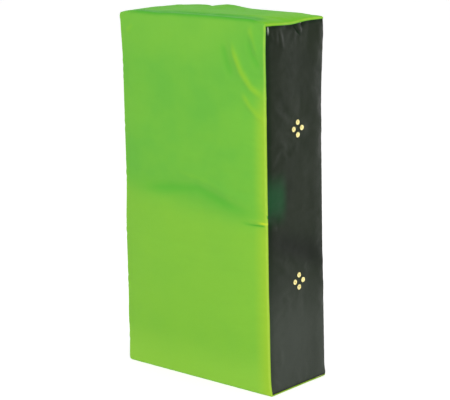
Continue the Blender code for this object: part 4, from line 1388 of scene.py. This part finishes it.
moulding = Finish("moulded_teeth")
moulding_wear = moulding.noise(180.0, 3.0).ramp(0.4, 0.8)
teeth_material = moulding.surface(
    Base_Color=moulding.tint(moulding_wear, paint(30, 31, 30), paint(58, 58, 56)),
    Roughness=0.34 + 0.2 * moulding_wear,
    Normal=moulding.bumps((moulding.noise(1500.0), 0.00002)),
)

gunmetal = Finish("gunmetal_plate")
gunmetal_rub = gunmetal.noise(140.0, 4.0, 0.6).ramp(0.35, 0.75)
gunmetal_brush = gunmetal.noise(3000.0, vector=gunmetal.stretched((0.2, 1.0, 1.0)))
metal_material = gunmetal.surface(
    Base_Color=gunmetal.tint(gunmetal_rub, paint(122, 122, 120), paint(168, 166, 160)),
    Metallic=1.0,
    Roughness=0.28 + 0.2 * gunmetal_brush,
    Normal=gunmetal.bumps((gunmetal_brush, 0.00001)),
)


def bar(low, high, radius=0.0, segments=2):
    """A block between two corners, with its edges rounded."""
    bm = bmesh.new()
    low, high = Vector(low), Vector(high)
    size = Matrix.Diagonal((*(high - low), 1))
    bmesh.ops.create_cube(bm, size=1, matrix=Matrix.Translation((low + high) / 2) @ size)
    if radius:
        rounded(bm, bm.edges[:], radius, segments)
    return bm


def add_shape(bm, other, place=Matrix.Identity(4)):
    """Adds another bmesh's faces to this one, placed by a matrix, and frees it."""
    bmesh.ops.transform(other, matrix=place, verts=other.verts)
    mesh = mesh_of(other, "shape")
    bm.from_mesh(mesh)
    bpy.data.meshes.remove(mesh)


def tooth():
    """One tooth from its cord: a waist, a flared head and a clasp that grips the cord, pointing down."""
    half = TOOTH_DEPTH / 2
    clasp = CORD_EDGE + CORD_WIDTH * TOOTH_CLASP
    bm = bar((-TOOTH_NECK / 2, -half, TOOTH_ROOT), (TOOTH_NECK / 2, half, clasp))
    low = [f for f in bm.faces if f.calc_center_median().z < TOOTH_ROOT + NEAR]
    head = bmesh.ops.extrude_discrete_faces(bm, faces=low)["faces"][0]
    middle = head.calc_center_median()
    bmesh.ops.translate(bm, verts=head.verts, vec=(0, 0, -TOOTH_ROOT - TOOTH_REACH))
    flare = (TOOTH_HEAD / TOOTH_NECK, 1, 1)
    bmesh.ops.scale(bm, verts=head.verts, vec=flare, space=Matrix.Translation(-middle))
    rounded(bm, bm.edges[:], TOOTH_ROUND, 1)
    return bm


def zip_half(level, side):
    """Tape with its corded edge, and the row of teeth on it, half a pitch from the other row's."""
    node = f"zip_stringer_{level}"
    low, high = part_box(node)
    edge = high.z - low.z - TOOTH_REACH
    tape = bar((low.x, TAPE_PLANE - TAPE_WALL / 2, CORD_LINE), (high.x, TAPE_PLANE + TAPE_WALL / 2, edge))
    for axis, spacing in TAPE_NET:
        net_along(tape, axis, spacing)
    cord_place = Matrix.Translation(((low.x + high.x) / 2, TAPE_PLANE, CORD_LINE)) @ ALONG_X
    add_rod(tape, CORD_RADIUS, high.x - low.x, CORD_STEPS, cord_place)
    teeth = bmesh.new()
    lead = 0.5 - side / 4
    for index in range(round((CHAIN_END - CHAIN_START) / TOOTH_PITCH)):
        spot = Vector((CHAIN_START + (index + lead) * TOOTH_PITCH, TAPE_PLANE, 0))
        add_shape(teeth, tooth(), Matrix.Translation(spot))
    pieces = []
    for bm, label, material in ((tape, "tape", tape_material), (teeth, "teeth", teeth_material)):
        name = f"zip_{label}_{level}"
        if side < 0:
            bmesh.ops.scale(bm, verts=bm.verts, vec=(1, 1, -1))
        bmesh.ops.translate(bm, verts=bm.verts, vec=(0, 0, ZIP_HEIGHT))
        mesh = finished(bm, name, FIRM_BEND)
        laid_out(mesh, coordinates(mesh)[:, [0, 2]])
        pieces.append(new_piece(name, mesh, material, "root", "zip_plastic", node))
    return pieces


def crimp(node, name):
    """A metal stop: a rounded block bent round the cord, with a crease down its face."""
    low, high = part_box(node)
    centre = (low + high) / 2
    bm = bar(low, high, STOP_ROUND, 3)
    slice_at(bm, 0, [centre.x - STOP_CREASE, centre.x, centre.x + STOP_CREASE])
    middle = [v for v in bm.verts if abs(v.co.x - centre.x) < NEAR]
    bmesh.ops.scale(bm, verts=middle, vec=STOP_WAIST, space=Matrix.Translation(-centre))
    return new_piece(name, finished(bm, name, FIRM_BEND), metal_material, "root", "zip_metal", node)


for level, side in LEVELS:
    opened = [*zip_half(level, side), crimp(f"zip_stop_{level}", f"zip_end_stop_{level}")]
    for piece in opened:
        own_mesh(piece)
crimp("zip_stop_bottom", "zip_bottom_stop")

# The zip's end tabs. A folded tab of the cover's cloth, round-cornered and with softened rims, is sewn over
# each end of the slot, where it hides the ends of the tapes.
TAB_HALF = 0.011
TAB_LIFT, TAB_FACE = 0.0002, 0.0014
TAB_CORNER = 0.0025
TAB_SPANS = ((0.2050, 0.2318), (-0.2318, -0.1990))
CLOTH_RIM = 0.0004


def plate(low, high, corner, rim):
    """A flat plate facing back, with round corners and softened rims."""
    bm = bar(low, high)
    bm.normal_update()
    rounded(bm, [e for e in bm.edges if runs_along(e, 1)], corner, 6)
    rounded(bm, sharp_edges(bm), rim, 2)
    return bm


def cloth_plate(name, low, high, corner, *nodes):
    """A flat piece of the cover's cloth with turned edges, sewn to the back."""
    mesh = finished(plate(low, high, corner, CLOTH_RIM), name, FIRM_BEND)
    laid_out(mesh, coordinates(mesh)[:, [0, 2]])
    new_piece(name, mesh, dark_cloth, "root", "black_cover", *nodes)


for (word, _), (near, far) in zip(SIDES, TAB_SPANS):
    corner_low = (near, PANEL_BACK + TAB_LIFT, ZIP_HEIGHT - TAB_HALF)
    corner_high = (far, PANEL_BACK + TAB_FACE, ZIP_HEIGHT + TAB_HALF)
    cloth_plate(f"zip_end_tab_{word}", corner_low, corner_high, TAB_CORNER)

# The slider. Two round-cornered plates of cast metal are joined by a post at the nose and have flanges that
# grip the cords; a bent bridge stands on the outer one and holds the eye of the pull, which is cut right
# through, beside a shallow recess in the pull's face.
SLIDER_CHANNEL = TOOTH_DEPTH / 2 + TOOTH_GAP
SLIDER_WALL = 0.0013
SLIDER_NOSE_IN = 0.0034
SLIDER_CORNER = 0.0028
SLIDER_RIM = 0.0004
ALONG_Y = Matrix.Rotation(math.radians(90), 4, "X")
FLANGE_START = 0.0006
FLANGE_WIDTH = 0.0015
FLANGE_ROUND = 0.0003
POST_RADIUS = 0.0011
POST_STEPS = 20
BRIDGE_SPAN = 0.012
BRIDGE_WIDTH = 0.003
BRIDGE_WALL = 0.0014
BRIDGE_STEPS = 16
BRIDGE_POWER = 0.45
BRIDGE_ROUND = 0.0003
PULL_CORNER = 0.0016
PULL_RIM = 0.00035
EYE_ROOM = 0.0006
CUT_PAST = 0.001
RECESS_SPAN = (0.003, 0.020)
RECESS_DEPTH = 0.0003
RECESS_EDGE = 0.002
RECESS_CORNER = 0.0015
RECESS_RIM = 0.0001


def span(middle, side, near, far):
    """The low and the high end of a stretch on one side of a middle."""
    return sorted((middle + side * near, middle + side * far))


low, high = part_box("zip_slider")
slider_half = (high.z - low.z) / 2
slider = bmesh.new()
for face in (1, -1):
    inner, outer = span(TAPE_PLANE, face, SLIDER_CHANNEL, SLIDER_CHANNEL + SLIDER_WALL)
    add_shape(slider, plate((low.x, inner, low.z), (high.x, outer, high.z), SLIDER_CORNER, SLIDER_RIM))
    for edge in (1, -1):
        ys = span(TAPE_PLANE, face, FLANGE_START, SLIDER_CHANNEL + SLIDER_WALL / 2)
        zs = span(ZIP_HEIGHT, edge, slider_half - FLANGE_WIDTH, slider_half)
        ends = ((low.x + SLIDER_CORNER, ys[0], zs[0]), (high.x - SLIDER_CORNER, ys[1], zs[1]))
        add_shape(slider, bar(*ends, FLANGE_ROUND))
post_place = Matrix.Translation((high.x - SLIDER_NOSE_IN, TAPE_PLANE, ZIP_HEIGHT)) @ ALONG_Y
add_rod(slider, POST_RADIUS, 2 * SLIDER_CHANNEL + SLIDER_WALL, POST_STEPS, post_place)

bridge = bmesh.new()
bridge_foot = TAPE_PLANE + SLIDER_CHANNEL + SLIDER_WALL
turns = [math.pi * step / BRIDGE_STEPS for step in range(BRIDGE_STEPS + 1)]
for inset in (0.0, BRIDGE_WALL):
    reach, rise = BRIDGE_SPAN / 2 - inset, high.y - bridge_foot - inset
    bent = [(-math.cos(turn) * reach, math.sin(turn) ** BRIDGE_POWER * rise, 0) for turn in turns]
    verts = [bridge.verts.new(point) for point in bent]
    for pair in zip(verts, verts[1:]):
        bridge.edges.new(pair)
bmesh.ops.bridge_loops(bridge, edges=bridge.edges[:])
drawn = bmesh.ops.extrude_face_region(bridge, geom=bridge.faces[:])["geom"]
drawn = [item for item in drawn if isinstance(item, bmesh.types.BMVert)]
bmesh.ops.translate(bridge, verts=drawn, vec=(0, 0, BRIDGE_WIDTH))
rounded(bridge, sharp_edges(bridge), BRIDGE_ROUND, 2)
bridge_place = Matrix.Translation(((low.x + high.x) / 2, bridge_foot, ZIP_HEIGHT - BRIDGE_WIDTH / 2))
add_shape(slider, bridge, bridge_place)
slider_mesh = finished(slider, "slider_body", FIRM_BEND)
new_piece("slider_body", slider_mesh, metal_material, "zip_slider", "zip_metal", "zip_slider")

low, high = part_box("zip_pull")
pull = plate(low, high, PULL_CORNER, PULL_RIM)
eye_end = high.x - (high.y - low.y)
eye_half = BRIDGE_WIDTH / 2 + EYE_ROOM
cutter = bar(
    (eye_end - BRIDGE_SPAN / 2 - EYE_ROOM, low.y - CUT_PAST, ZIP_HEIGHT - eye_half),
    (eye_end, high.y + CUT_PAST, ZIP_HEIGHT + eye_half),
)
recess_low = (low.x + RECESS_SPAN[0], high.y - RECESS_DEPTH, low.z + RECESS_EDGE)
recess_high = (low.x + RECESS_SPAN[1], high.y + CUT_PAST, high.z - RECESS_EDGE)
add_shape(cutter, plate(recess_low, recess_high, RECESS_CORNER, RECESS_RIM))
pull_meshes = finished(pull, "slider_pull", FIRM_BEND), finished(cutter, "cutter", FIRM_BEND)
pull_mesh = smoothed(less(*pull_meshes, "slider_pull"), FIRM_BEND)
new_piece("slider_pull", pull_mesh, metal_material, "zip_pull", "zip_metal", "zip_pull")

# The arm grips. Each is one length of webbing, box-stitched at both ends to a reinforced patch on the back
# and standing off the pad between them, with a padded sleeve of cover cloth round its middle for the hand.
STRAP_ACROSS = 0.115
WEB_WIDTH = 0.025
WEB_WALL = 0.0024
WEB_STEP = 0.0016
WEB_LONG = 1.3
WEB_GAP = 0.0006
WEB_CROWN = 0.00015
RIB_PITCH = 0.00125
HERRINGBONE_PITCH = 0.0021
HERRINGBONE_SLANT = 0.0016
SELVEDGE_ROUND = 0.0007
SELVEDGE_BEND = math.radians(50)
STRAP_MIDDLE = sum(v.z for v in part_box("strap_right_loop")) / 2
GRIP_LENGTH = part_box("strap_right_grip_sleeve")[1].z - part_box("strap_right_grip_sleeve")[0].z
WEB_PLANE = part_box("strap_right_tab_upper")[0].y + WEB_WALL / 2
STRAP_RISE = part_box("strap_right_loop")[1].y - WEB_WALL / 2 - WEB_PLANE
STRAP_FOOT = 0.150
STRAP_SHOULDER = GRIP_LENGTH / 2 + 0.006
TAB_LENGTH = 0.062
BOX_START = 0.004
BOX_INSET = 0.003
BOX_END = 0.002
BOX_DIP = 0.0004
BOX_DIP_REACH = 0.0012
PATCH_ROUND = 0.010
PAD_ROWS = 12
PAD_SHORT = Vector((0.0018, 0.0012, 0.006))
SLEEVE_STEPS = 44
SLEEVE_ROWS = 52
SLEEVE_DRAW = 0.06
SLEEVE_DRAW_POWER = 6
SLEEVE_END = 0.005
SLEEVE_MIDDLE = 0.1617
SLEEVE_GIRTH = 0.017
PUCKER_COUNTS = (5, 8, 11, 14, 17, 20)
PUCKER_SIZE = 0.05
PUCKER_REACH = 0.010
RING_SIZE = 0.010
RING_PITCHES = (0.019, 0.031)
SQUARE_POWER = 3
SQUARE_SHARE = 0.45
SQUARE_LIMIT = 1.04
CLOSE_ACROSS = 0.26
CLOSE_DEEP = 0.62

webbing = Finish("woven_webbing")
web_across, web_along, _ = webbing.parts(webbing.place("UV"))
herringbone = (web_along + abs(web_across.wave(WEB_WIDTH / 2)) * HERRINGBONE_SLANT).wave(HERRINGBONE_PITCH)
ribs = web_across.wave(RIB_PITCH)
web_tint = webbing.tint(webbing.noise(70.0, 3.0).ramp(0.3, 0.7), paint(34, 35, 33), paint(46, 47, 45))
web_material = webbing.surface(
    Base_Color=webbing.tint((herringbone * ribs).ramp(0.0, 1.0) * 0.6, web_tint, paint(62, 62, 59)),
    Roughness=0.82,
    Normal=webbing.bumps((ribs, 0.00016), (herringbone, 0.00014)),
)


def web_depth(over, along):
    """How far back the webbing lies, by its place across and its distance from the grip's middle."""
    depth = WEB_PLANE + STRAP_RISE * ease(along, STRAP_FOOT, STRAP_SHOULDER)
    depth += WEB_CROWN * (1 - (2 * over / WEB_WIDTH) ** 4)
    if along > STRAP_FOOT + BOX_INSET:
        # The box of stitches pulls it in
        from_end = min(STRAP_FOOT + TAB_LENGTH - along, along - STRAP_FOOT - BOX_START)
        beside = abs(WEB_WIDTH / 2 - abs(over) - BOX_INSET) if from_end > BOX_END else 1.0
        depth -= BOX_DIP * bell(min(beside, abs(from_end - BOX_INSET)), BOX_DIP_REACH)
    return depth


def web_end(name, across, side, body, *nodes):
    """Half a strap, from its sewn end to the middle of the grip."""
    bm = bmesh.new()
    length = STRAP_FOOT + TAB_LENGTH
    steps_along = math.ceil(length / WEB_STEP / WEB_LONG)
    columns = math.ceil(WEB_WIDTH / WEB_STEP)
    bmesh.ops.create_grid(bm, x_segments=columns, y_segments=steps_along, size=0.5)
    for vert in bm.verts:
        over, along = vert.co.x * WEB_WIDTH, (0.5 - vert.co.y) * length + WEB_GAP
        vert.co = Vector((across + over, web_depth(over, along), STRAP_MIDDLE + side * along))
    bmesh.ops.recalc_face_normals(bm, faces=bm.faces)
    bm.normal_update()
    if sum(f.normal.y for f in bm.faces) < 0:
        bmesh.ops.reverse_faces(bm, faces=bm.faces)
    item = placed(name, mesh_of(bm, name))
    laid_out(item.data, coordinates(item.data)[:, [0, 2]] - (across, 0))
    walled(item, WEB_WALL, 0)
    selvedge = item.modifiers.new("selvedge", "BEVEL")
    selvedge.width = SELVEDGE_ROUND
    selvedge.segments = 2
    selvedge.limit_method = "ANGLE"
    selvedge.angle_limit = SELVEDGE_BEND
    mesh = shown_mesh(item, name)
    mesh.shade_smooth()
    piece = new_piece(name, mesh, web_material, None, "webbing", *nodes)
    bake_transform(piece)


def grip_tube(name, low, high, rows, draw, capped, seed):
    """An oval pad or sleeve round the webbing, drawn in at its ends and slightly puckered."""
    bm = bmesh.new()
    middle = (low + high) / 2
    half = (high - low) / 2
    add_rod(bm, 1, 2 * half.z, SLEEVE_STEPS, Matrix.Translation((0, 0, middle.z)), capped)
    upright = [e for e in bm.edges if runs_along(e, 2)]
    bmesh.ops.subdivide_edges(bm, edges=upright, cuts=rows, use_grid_fill=True)
    phases = np.random.default_rng(seed).uniform(0, math.tau, len(PUCKER_COUNTS))
    for vert in bm.verts:
        rise = (vert.co.z - middle.z) / half.z
        turn = math.atan2(vert.co.y, vert.co.x)
        size = 1 - draw * abs(rise) ** SLEEVE_DRAW_POWER
        if draw:
            puckers = [math.sin(count * turn + phase) for count, phase in zip(PUCKER_COUNTS, phases)]
            near_end = math.exp(-((1 - abs(rise)) * half.z / PUCKER_REACH))
            turned = 2 * turn + phases[0]
            ring = sum(math.sin(math.tau * vert.co.z / pitch + turned) for pitch in RING_PITCHES)
            size += PUCKER_SIZE * sum(puckers) / len(puckers) * near_end + RING_SIZE * ring * (1 - near_end)
        # Squarer than an ellipse, because the flat webbing fills it
        corners = abs(math.cos(turn)) ** SQUARE_POWER + abs(math.sin(turn)) ** SQUARE_POWER
        size = min(size * (1 + SQUARE_SHARE * (corners ** (-1 / SQUARE_POWER) - 1)), SQUARE_LIMIT)
        last = max(0.0, (abs(rise) - 1) * half.z / SLEEVE_END + 1) * (draw > 0)
        closing = 1 - math.sqrt(1 - last**2)
        vert.co.x = middle.x + math.cos(turn) * half.x * size * (1 - CLOSE_ACROSS * closing)
        vert.co.y = middle.y + math.sin(turn) * half.y * size * (1 - CLOSE_DEEP * closing)
    return finished(bm, name, FIRM_BEND)


for word, hand in SIDES:
    strap = f"strap_{word}"
    across = hand * STRAP_ACROSS
    for level, side in LEVELS:
        web_end(f"webbing_{word}_{level}", across, side, strap, f"{strap}_tab_{level}", f"{strap}_loop")
        node = f"{strap}_patch_{level}"
        cloth_plate(f"patch_{word}_{level}", *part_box(node), PATCH_ROUND, node)
    low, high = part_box(f"{strap}_grip_foam")
    pad_mesh = grip_tube("grip_pad", low + PAD_SHORT, high - PAD_SHORT, PAD_ROWS, 0.0, True, 11)
    pad = new_piece(f"grip_pad_{word}", pad_mesh, foam_material, strap, "foam", f"{strap}_grip_foam")
    node = f"{strap}_grip_sleeve"
    item = placed("grip_sleeve", grip_tube("grip_sleeve", *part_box(node), SLEEVE_ROWS, SLEEVE_DRAW, False, 12))
    x, y, z = coordinates(item.data).T
    around = np.arctan2(y - SLEEVE_MIDDLE, x - across) * SLEEVE_GIRTH
    laid_out(item.data, np.stack([around, z], axis=1))
    walled(item, CLOTH)
    sleeve_mesh = shown_mesh(item, "grip_sleeve")
    sleeve = new_piece(f"grip_sleeve_{word}", sleeve_mesh, dark_cloth, strap, "black_cover", node)

# The stitching. Every sewn line is a row of short lengths of thread, half sunk in the cloth that they hold:
# the back's corner seams, the zip's hems and end tabs, the patches, the straps' boxes and the sleeves.
STITCH_PITCH = 0.0045
STITCH_LENGTH = 0.0031
THREAD_RADIUS = 0.00034
SEAM_INSET = 0.0026
HEM_ENDS = (-0.196, 0.202)
PATCH_INSET = 0.0035
PATCH_CORNER = 0.0075
TAB_INSET = 0.0028
SLEEVE_RADIUS = 0.0155
SLEEVE_HEM = 0.006
RAY_START = 0.05

thread = Finish("polyester_thread")
thread_cloud = thread.noise(900.0).ramp(0.35, 0.7)
thread_material = thread.surface(
    Base_Color=thread.tint(thread_cloud, paint(58, 60, 57), paint(86, 88, 83)),
    Roughness=0.6,
    Normal=thread.bumps((thread_cloud, 0.00003)),
)

bead_shape = bmesh.new()
bmesh.ops.create_uvsphere(bead_shape, u_segments=6, v_segments=5, radius=1)
bead = mesh_of(bead_shape, "bead")
BEAD_POINTS = [v.co.copy() for v in bead.vertices]
BEAD_FACES = [tuple(p.vertices) for p in bead.polygons]


def spaced(line):
    """Both ends of each stitch along a line of straight parts, in flat measures."""
    stitches = []
    for first, second in zip(line, line[1:]):
        run = Vector(second) - Vector(first)
        count = max(1, round(run.length / STITCH_PITCH))
        half = run.normalized() * STITCH_LENGTH / 2
        for index in range(count):
            middle = Vector(first) + run * (index + 0.5) / count
            stitches.append((middle - half, middle + half))
    return stitches


def border(low_x, low_z, high_x, high_z, inset, corner=0.0):
    """A closed outline inside a box's edges, with its corners cut."""
    low_x, low_z, high_x, high_z = low_x + inset, low_z + inset, high_x - inset, high_z - inset
    rough = [(low_x, low_z), (high_x, low_z), (high_x, high_z), (low_x, high_z)]
    if not corner:
        return [*rough, rough[0]]
    line = []
    for index, (x, z) in enumerate(rough):
        to_x = corner if x == low_x else -corner
        to_z = corner if z == low_z else -corner
        ends = [(x, z + to_z), (x + to_x, z)]
        line += ends if index % 2 == 0 else ends[::-1]
    return [*line, line[0]]


def sewn(name, lines, lay, body):
    """Thread along lines, each end of a stitch laid on the surface by a function of its flat place."""
    points, faces = [], []
    for line in lines:
        for ends in spaced(line):
            first, second = (lay(*end) for end in ends)
            if first is None or second is None:
                continue
            turn = (second - first).to_track_quat("Z", "Y").to_matrix().to_4x4()
            length = (second - first).length / 2 + THREAD_RADIUS
            size = Matrix.Diagonal((THREAD_RADIUS, THREAD_RADIUS, length, 1))
            place = Matrix.Translation((first + second) / 2) @ turn @ size
            faces += [[corner + len(points) for corner in face] for face in BEAD_FACES]
            points += [place @ point for point in BEAD_POINTS]
    mesh = bpy.data.meshes.new(name)
    mesh.from_pydata(points, [], faces)
    mesh.shade_smooth()
    new_piece(name, mesh, thread_material, body, "webbing")


def onto(*starts):
    """Lays a flat place of the back on the pieces whose names start with any of the given words."""
    tree = tree_of(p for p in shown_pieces() if p.name.startswith(starts))
    return lambda x, z: tree.ray_cast(Vector((x, PANEL_BACK + RAY_START, z)), Vector((0, -1, 0)))[0]


def round_sleeve(name, middle):
    """Lays a place on a grip's sleeve, given as the way round it and the height."""
    tree = tree_of(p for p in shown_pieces() if p.name == name)

    def lay(along, z):
        outward = Vector((math.cos(along / SLEEVE_RADIUS), math.sin(along / SLEEVE_RADIUS), 0))
        return tree.ray_cast(Vector((middle.x, middle.y, z)) + RAY_START * outward, -outward)[0]

    return lay


onto_panels = onto("back_panel", "side_panel", "zip_end_tab")
onto_patches = onto("patch")
onto_straps = onto("webbing")

seam_lines = []
for seam_x in (SEAM_INSET - BACK_SEAM, BACK_SEAM - SEAM_INSET):
    for low_z, high_z in PANEL_HEIGHTS.values():
        seam_lines.append([(seam_x, low_z + 2 * LIP), (seam_x, high_z - 2 * LIP)])
sewn("corner_stitching", seam_lines, onto_panels, "root")

hem_heights = (ZIP_HEIGHT - ZIP_HALF - SEAM_INSET, ZIP_HEIGHT + ZIP_HALF + SEAM_INSET)
zip_lines = [[(end, height) for end in HEM_ENDS] for height in hem_heights]
for near, far in TAB_SPANS:
    zip_lines.append(border(near, ZIP_HEIGHT - TAB_HALF, far, ZIP_HEIGHT + TAB_HALF, TAB_INSET))
sewn("zip_stitching", zip_lines, onto_panels, "root")

for word, hand in SIDES:
    strap = f"strap_{word}"
    left, right = (hand * STRAP_ACROSS + half * (WEB_WIDTH / 2 - BOX_INSET) for half in (-1, 1))
    patch_lines, strap_lines = [], []
    for level, side in LEVELS:
        low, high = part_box(f"{strap}_patch_{level}")
        patch_lines.append(border(low.x, low.z, high.x, high.z, PATCH_INSET, PATCH_CORNER))
        start, end = STRAP_FOOT + BOX_START + BOX_INSET, STRAP_FOOT + TAB_LENGTH - BOX_INSET
        low_z, high_z = span(STRAP_MIDDLE, side, start, end)
        crossed = [[(left, low_z), (right, high_z)], [(left, high_z), (right, low_z)]]
        strap_lines += [border(left, low_z, right, high_z, 0.0), *crossed]
    sewn(f"patch_stitching_{word}", patch_lines, onto_patches, "root")
    sewn(f"strap_stitching_{word}", strap_lines, onto_straps, "root")
    low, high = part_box(f"{strap}_grip_sleeve")
    quarters = [math.tau * SLEEVE_RADIUS * step / 4 for step in range(5)]
    hems = (low.z + SLEEVE_HEM, high.z - SLEEVE_HEM)
    under = -math.pi / 2 * SLEEVE_RADIUS
    sleeve_lines = [[(along, hem) for along in quarters] for hem in hems] + [[(under, hem) for hem in hems]]
    on_sleeve = round_sleeve(f"grip_sleeve_{word}", (low + high) / 2)
    sewn(f"grip_stitching_{word}", sleeve_lines, on_sleeve, strap)
